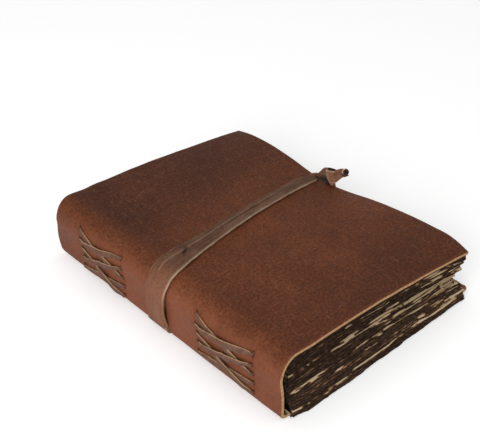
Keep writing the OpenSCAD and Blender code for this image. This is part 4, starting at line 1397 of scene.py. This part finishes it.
@dataclass
class Knot:
    """The strap's end: gathered neck, folded loop, rolled end, and the root it holds.

    Attributes:
        side: Direction along the loop.
        up: Direction up the loop.
        back: Direction behind the loop.
    """

    form: Form
    y: float = 5.5
    inset: float = 3.1
    foot: float = 0.85
    height: float = 12.4
    side: tuple[float, float, float] = (0.7394, -0.6733, 0.0)
    up: tuple[float, float, float] = (0.3744, 0.4112, 0.8312)
    back: tuple[float, float, float] = (0.5596, 0.6145, -0.5561)

    def at(self, along: Real, up: Real, back: Real) -> Array:
        """Point by distances along the loop, up it and behind it, from its lower tip.

        Args:
            along: Distance along the loop.
            up: Distance up it.
            back: Distance behind it.

        Returns:
            The points, with X, Y and Z along a last axis.
        """
        x = self.form.width - self.inset
        tip = np.array([x, self.y, float(self.form.top(x, self.y)) + self.form.strap_gap + self.foot])
        return tip + grid(along, up, back) @ np.array([self.side, self.up, self.back])

    def ribbon(self, mesh: Mesh, line: Array, across: Array, thick: float, seed: int,
               bow: float = 0.0, warm: float = 0.0, shade: tuple[float, float] = (0.0, 0.0),
               under: float = 0.0) -> None:
        """Adds a bent leaf of leather.

        Points are the middle line plus a share of the half-width vector, bowed
        along the leaf's normal by a parabola across it.

        Args:
            mesh: Mesh that takes the leaf.
            line: Middle line, N x 3.
            across: Half-width vector at each point, N x 3.
            thick: Thickness of the leaf.
            seed: Number for its unevenness.
            bow: How far the middle stands off the borders.
            warm: Share of the warmer colour.
            shade: Painted shade at its start and at its end.
            under: Painted shade added along its lower border.
        """
        t = np.linspace(0, 1, 30)
        rows, wide = self.curve(line, t), self.curve(across, t)
        normal = unit(np.cross(np.gradient(rows, axis=0), wide))
        t, v = t[:, None], np.linspace(-1, 1, 13)
        middle = rows[:, None] + wide[:, None] * v[:, None]
        lift = bow * (1 - v * v) + 0.12 * drift(t * 6, v * 3, seed)
        outer, inner = (middle + normal[:, None] * (lift + off)[:, :, None]
                        for off in (thick / 2, -thick / 2))
        # Painted shade at the ends and along the lower border; pale borders are partly worn, partly painted
        # highlight.
        dark = np.clip(mix(shade[0], shade[1], smooth(t)) + under * smooth(0.35 - v), 0, 1)
        rim = 0.60 * smooth((np.abs(v) - 0.86) / 0.14)
        wear = np.clip(rim + 0.12 * drift(t * 4, v * 2, seed + 1), 0, 1) * (1 - dark)
        mesh.sheet(outer, inner, grid(t * 18 + seed * 31, v * 4), wear=wear, crease=dark, warm=warm)

    @staticmethod
    def curve(points: Array, t: Array) -> Array:
        """Smooth curve through evenly spaced points by cubic Hermite pieces with central slopes.

        Args:
            points: The points, N x 3.
            t: Places wanted, from 0 to 1.

        Returns:
            Points at t.
        """
        points = np.asarray(points, float)
        t_old = np.linspace(0, 1, len(points))
        slope = np.gradient(points, t_old, axis=0)
        i = np.clip(np.searchsorted(t_old, t, side="right") - 1, 0, len(t_old) - 2)
        h = (t_old[i + 1] - t_old[i])[:, None]
        u = ((t - t_old[i])[:, None]) / h
        return ((2 * u ** 3 - 3 * u ** 2 + 1) * points[i] + (u ** 3 - 2 * u ** 2 + u) * h * slope[i]
                + (3 * u ** 2 - 2 * u ** 3) * points[i + 1] + (u ** 3 - u ** 2) * h * slope[i + 1])

    def neck(self, mesh: Mesh) -> None:
        """Adds the gathered neck that leaves the strap and spreads into the fin on the loop.

        Args:
            mesh: Mesh that takes the neck.
        """
        form, h, up = self.form, self.height, np.array(self.up)
        x0, x1 = form.width - 6.0, form.width - 3.0
        y0 = float(form.strap_mid(np.array(x0)))
        w0 = float(form.strap_width(np.array(x0))) * 0.46
        z0 = float(form.top(x0, y0)) + form.strap_gap + form.strap_t / 2
        rise = float(form.top(x0, y0 + w0)) - float(form.top(x0, y0))
        z1 = float(form.top(x1, y0)) + form.strap_gap + 1.8
        line = [[x0, y0, z0], [x1, y0 - 0.3, z1], self.at(-8.9, 0.55 * h, 4.4), self.at(-6.6, 0.60 * h, 3.2),
                self.at(-4.3, 0.60 * h, 2.2), self.at(-2.5, 0.56 * h, 1.8)]
        across = [[0, w0, rise], [0.3, 2.5, 0.9], up * 2.0, up * 3.6, up * 5.0, up * 5.0]
        # Painted shade towards the fin and along its lower border.
        self.ribbon(mesh, np.array(line), np.array(across), 1.4, 71, 0.25, 0.25, (0.0, 0.20), 0.85)

    def loop(self, mesh: Mesh) -> None:
        """Adds the folded leaf: a cup whose point stands on the cover's edge.

        Outline points are ellipses up the loop whose middle drifts and whose
        half widths grow to the mouth, which is lower in front than behind; the
        inner wall is up to a millimetre inside.

        Args:
            mesh: Mesh that takes the loop.
        """
        share = np.array([0.0, 0.06, 0.12, 0.20, 0.30, 0.42, 0.55, 0.68, 0.80, 0.87, 0.90])[:, None]
        stations = [0, 0.11, 0.26, 0.5, 0.74, 0.9]
        centre, half, deep = (np.interp(share, stations, sizes) for sizes in (
            [0, 0, 0.1, -0.4, -0.8, -0.9], [0.6, 1.7, 2.8, 3.9, 4.25, 4.2], [0.5, 1.0, 1.4, 2.0, 2.5, 2.6]))
        a = np.radians(np.linspace(0, 360, 49)[:-1])
        ripple = 1 + 0.05 * np.sin(3 * a + 0.7) + 0.05 * np.sin(2 * a + share * 3)
        height = share * (self.height - 0.16 * half * np.cos(a) + 0.5 * deep * np.sin(a))
        wall = np.minimum(1.0, deep * 0.62)
        outer, inner = (self.at(centre + (half - inside) * np.cos(a) * ripple, height + floor,
                                deep + (deep - inside) * np.sin(a) * ripple)
                        for inside, floor in ((0.0, 0.0), (wall, 0.5 * (share == 0))))
        flat = grid(a * 4 + 400, np.arange(2 * len(share))[:, None] * 2.0)
        # Pale mouth rim, partly worn and partly painted highlight, and a painted highlight on the left side.
        left = 0.45 * bell(np.degrees(a), 200, 22)
        wear = np.concatenate([0.05 + 0.7 * smooth((share - 0.80) / 0.1), 0 * share]) + left
        # Painted shade on the inner wall of the cup.
        inside = np.minimum(1.0, 0.80 + 0.25 * (1 - share[::-1]))
        crease = np.concatenate([0 * share, inside])
        mottled = np.clip(0.72 + 0.45 * drift(a * 2.2, share * 5, 76), 0, 1)
        mesh.tube(np.concatenate([outer, inner[::-1]]), flat, wear=np.clip(wear, 0, 1) * (1 - crease),
                  crease=crease, warm=np.concatenate([mottled, 0 * mottled]))

    def spiral(self, turn: Array, radius: Array, v: Array) -> Array:
        """Points of the rolled end: a spiral, carried along the roll's axis.

        Args:
            turn: Angles, a column.
            radius: Radius at each angle, a column.
            v: Distances along the axis.

        Returns:
            The points, angles x distances x 3.
        """
        axis = unit(np.array([-0.42, -0.70, 0.58]))
        first = unit(np.cross(axis, np.array([0.0, 0.0, 1.0])))
        parts = grid(radius * np.cos(turn), radius * np.sin(turn), v + 0.35 * np.sin(turn * 0.5))
        return self.at(8.8, self.height * 0.72, -1.2) + parts @ np.array([first, np.cross(axis, first), axis])

    def roll(self, mesh: Mesh) -> None:
        """Adds the wing and the end of the strap, wound in a spiral of over two turns.

        The spiral's radius grows evenly with the turn, and the leaf runs 6.5 mm
        along the roll's axis.

        Args:
            mesh: Mesh that takes the roll.
        """
        line = self.at(np.array([-1.0, 0.6, 2.2, 4.0, 6.0, 8.0]),
                       self.height * np.array([0.42, 0.43, 0.50, 0.58, 0.66, 0.71]),
                       np.array([0.3, 0.4, 0.6, 0.9, 1.2, 1.5]))
        tall = np.array([3.0, 3.6, 4.1, 3.9, 3.3, 2.6])[:, None] * np.array(self.up)
        self.ribbon(mesh, line, tall, 1.3, 73, -0.5, 0.75)
        steps, v = np.linspace(0, 1, 96)[:, None], np.linspace(-6.5, 0, 12)
        turn, radius = steps * 2.35 * 2 * np.pi, mix(0.8, 2.55, steps)
        wear = smooth((v + 0.5) / 0.4) * smooth((steps - 0.70) / 0.06) * smooth((0.90 - steps) / 0.06)
        # Painted shade in the spiral's inner turns and on its end face; the pale lip of the outer turn is
        # frayed wear.
        dark = np.clip(mix(0.62, 0.15, steps) + 0.38 * smooth((v + 0.6) / 0.6), 0, 1) * (1 - 0.9 * wear)
        mesh.sheet(self.spiral(turn, radius + 0.45, v), self.spiral(turn, radius - 0.40, v),
                   grid(turn * 2 + 500, v), (Side.GRAIN, Side.GRAIN, Side.GRAIN), wear=wear * (1 - dark),
                   crease=dark, warm=0.6 * (1 - dark))

    def root(self, mesh: Mesh) -> None:
        """Adds the strap's root, which comes up along the page edges into the loop.

        Args:
            mesh: Mesh that takes the root.
        """
        form = self.form
        top = self.at(-3.6, self.height * 0.28, 2.8)
        x0 = form.back_w + form.turn_r + form.strap_t / 2
        x1 = max(float(top[0]), form.width + 0.5) + form.strap_t / 2
        s = np.linspace(0, 1, 7)
        e = smooth(s)
        line = grid(mix(x0, x1, e), mix(form.strap_y + 2, top[1], e), mix(form.root_z, top[2], s))
        line = np.concatenate([line, self.at(-2.4, self.height * 0.55, 2.8)[None]])
        across = grid(0.0, np.append(mix(6.0, 2.8, e), 2.0), 0.0)
        # Painted shade that deepens where the root runs into the loop.
        self.ribbon(mesh, line, across, 1.7, 75, 0.3, 0.0, (0.35, 0.95))

    def build(self, finishes: list[Finish]) -> None:
        """Makes the knot with everything it is folded from.

        Args:
            finishes: Materials of the grain, the flesh side and the cut edge.
        """
        mesh = Mesh()
        for part in (self.neck, self.loop, self.roll, self.root):
            part(mesh)
        obj = mesh.build("strap_knot", finishes)
        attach(obj, "front_cover")
        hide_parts("strap_front")


def turned(axes: list[Array], place: Array) -> Matrix:
    """Matrix of an object by its own axes and its place."""
    return Matrix([[*np.array(axes)[:, i], place[i]] for i in range(3)] + [[0, 0, 0, 1]])


@dataclass
class Studio:
    """Floor, soft lights and the camera at the photographed angle.

    Attributes:
        right: Direction to the picture's right.
        down: Direction to the picture's foot.
        ahead: Direction the camera looks in.
        eye: Place of the camera, in millimetres.
        lens: Focal length, in millimetres.
        floor_glow: Strength of the floor's own light, for camera, glossy and transmission rays.
    """

    right: tuple[float, float, float] = (0.73725, -0.67560, -0.00485)
    down: tuple[float, float, float] = (-0.37870, -0.40730, -0.83108)
    ahead: tuple[float, float, float] = (0.55951, 0.61455, -0.55613)
    eye: tuple[float, float, float] = (-236.64, -332.75, 349.08)
    lens: float = 67.88
    floor_glow: float = 0.30

    def floor(self) -> None:
        """Pale floor that the camera sees as white where no shadow falls."""
        mesh = bpy.data.meshes.new("floor")
        r = 4.0
        mesh.from_pydata([(-r, -r, 0), (r, -r, 0), (r, r, 0), (-r, r, 0)], [], [(0, 1, 2, 3)])
        obj = bpy.data.objects.new("floor", mesh)
        obj.location.z = -0.0002
        bpy.context.scene.collection.objects.link(obj)
        n = Nodes.named("pale_floor")
        matt = n.put("BsdfPrincipled", {"Base Color": (0.86, 0.86, 0.86), "Roughness": 0.9,
                                        "Specular IOR Level": 0.1})
        rays = n.put("LightPath").outputs
        seen = n.math("MAXIMUM", n.math("MAXIMUM", rays["Is Camera Ray"], rays["Is Glossy Ray"]),
                      rays["Is Transmission Ray"])
        glow = n.put("Emission", {"Color": (1, 1, 1), "Strength": n.product(seen, self.floor_glow)})
        both = n.put("AddShader", {0: matt.outputs["BSDF"], 1: glow.outputs["Emission"]})
        n.put("OutputMaterial", {"Surface": both.outputs["Shader"]})
        mesh.materials.append(n.owner)

    def lamp(self, name: str, place: tuple[float, float, float], size: float, power: float) -> None:
        """Adds a square soft lamp that looks at the journal.

        Args:
            name: Name of the lamp.
            place: Where it stands, in metres.
            size: Length of its sides, in metres.
            power: Power in watts.
        """
        data = bpy.data.lights.new(name, "AREA")
        data.shape = "SQUARE"
        data.size = size
        data.energy = power
        obj = bpy.data.objects.new(name, data)
        z = unit(np.array(place) - np.array([0, 0, 0.02]))
        x = unit(np.cross([0, 0, 1.0], z))
        obj.matrix_world = turned([x, np.cross(z, x), z], place)
        bpy.context.scene.collection.objects.link(obj)

    def build(self) -> None:
        """Makes the floor, the lights, the world and the camera."""
        scene = bpy.context.scene
        scene.view_settings.view_transform = "Standard"
        self.floor()
        self.lamp("window", (-1.10, -0.55, 0.62), 0.9, 13.0)
        self.lamp("overhead", (0.15, 0.30, 1.3), 1.2, 3.2)
        n = Nodes(bpy.data.worlds.new("room"))
        light, seen = (n.put("Background", {"Color": (1, 1, 1), "Strength": strength}).outputs["Background"]
                       for strength in (0.50, 1.0))
        rays = n.put("LightPath").outputs["Is Camera Ray"]
        both = n.put("MixShader", {"Fac": rays, 1: light, 2: seen}).outputs["Shader"]
        n.put("OutputWorld", {"Surface": both})
        scene.world = n.owner
        data = bpy.data.cameras.new("camera")
        data.lens = self.lens
        data.sensor_width = 36.0
        camera = bpy.data.objects.new("camera", data)
        camera.matrix_world = turned([self.right, -np.array(self.down), -np.array(self.ahead)],
                                     (np.array(self.eye) - [SPINE_TO_MIDDLE, 0, 0]) * METRES)
        scene.collection.objects.link(camera)
        scene.camera = camera


def main() -> None:
    """Builds every piece of the journal and the studio round it."""
    logging.basicConfig(level=logging.INFO, format="%(name)s %(message)s")
    form = Form()
    lacing = Lacing(form)
    flesh, strap = FleshSide().material(), StrapHide().material()
    cut = CutLeather("cover_cut_edge").material()
    # The strap's cut edge is a darker copy of the cover's: painted shade on the strap's shadowed sides.
    strap_cut = CutLeather("strap_cut_edge", (0.26, 0.165, 0.10), (0.13, 0.075, 0.045)).material()
    Hide(form, lacing).build([OiledHide().material(), flesh, cut])
    Pages(form).build(AgedPaper().material())
    lacing.build(Thong().material())
    Strap(form).build([strap, flesh, strap_cut])
    Knot(form).build([strap, flesh, strap_cut])
    Studio().build()


if __name__ == "__main__":
    main()
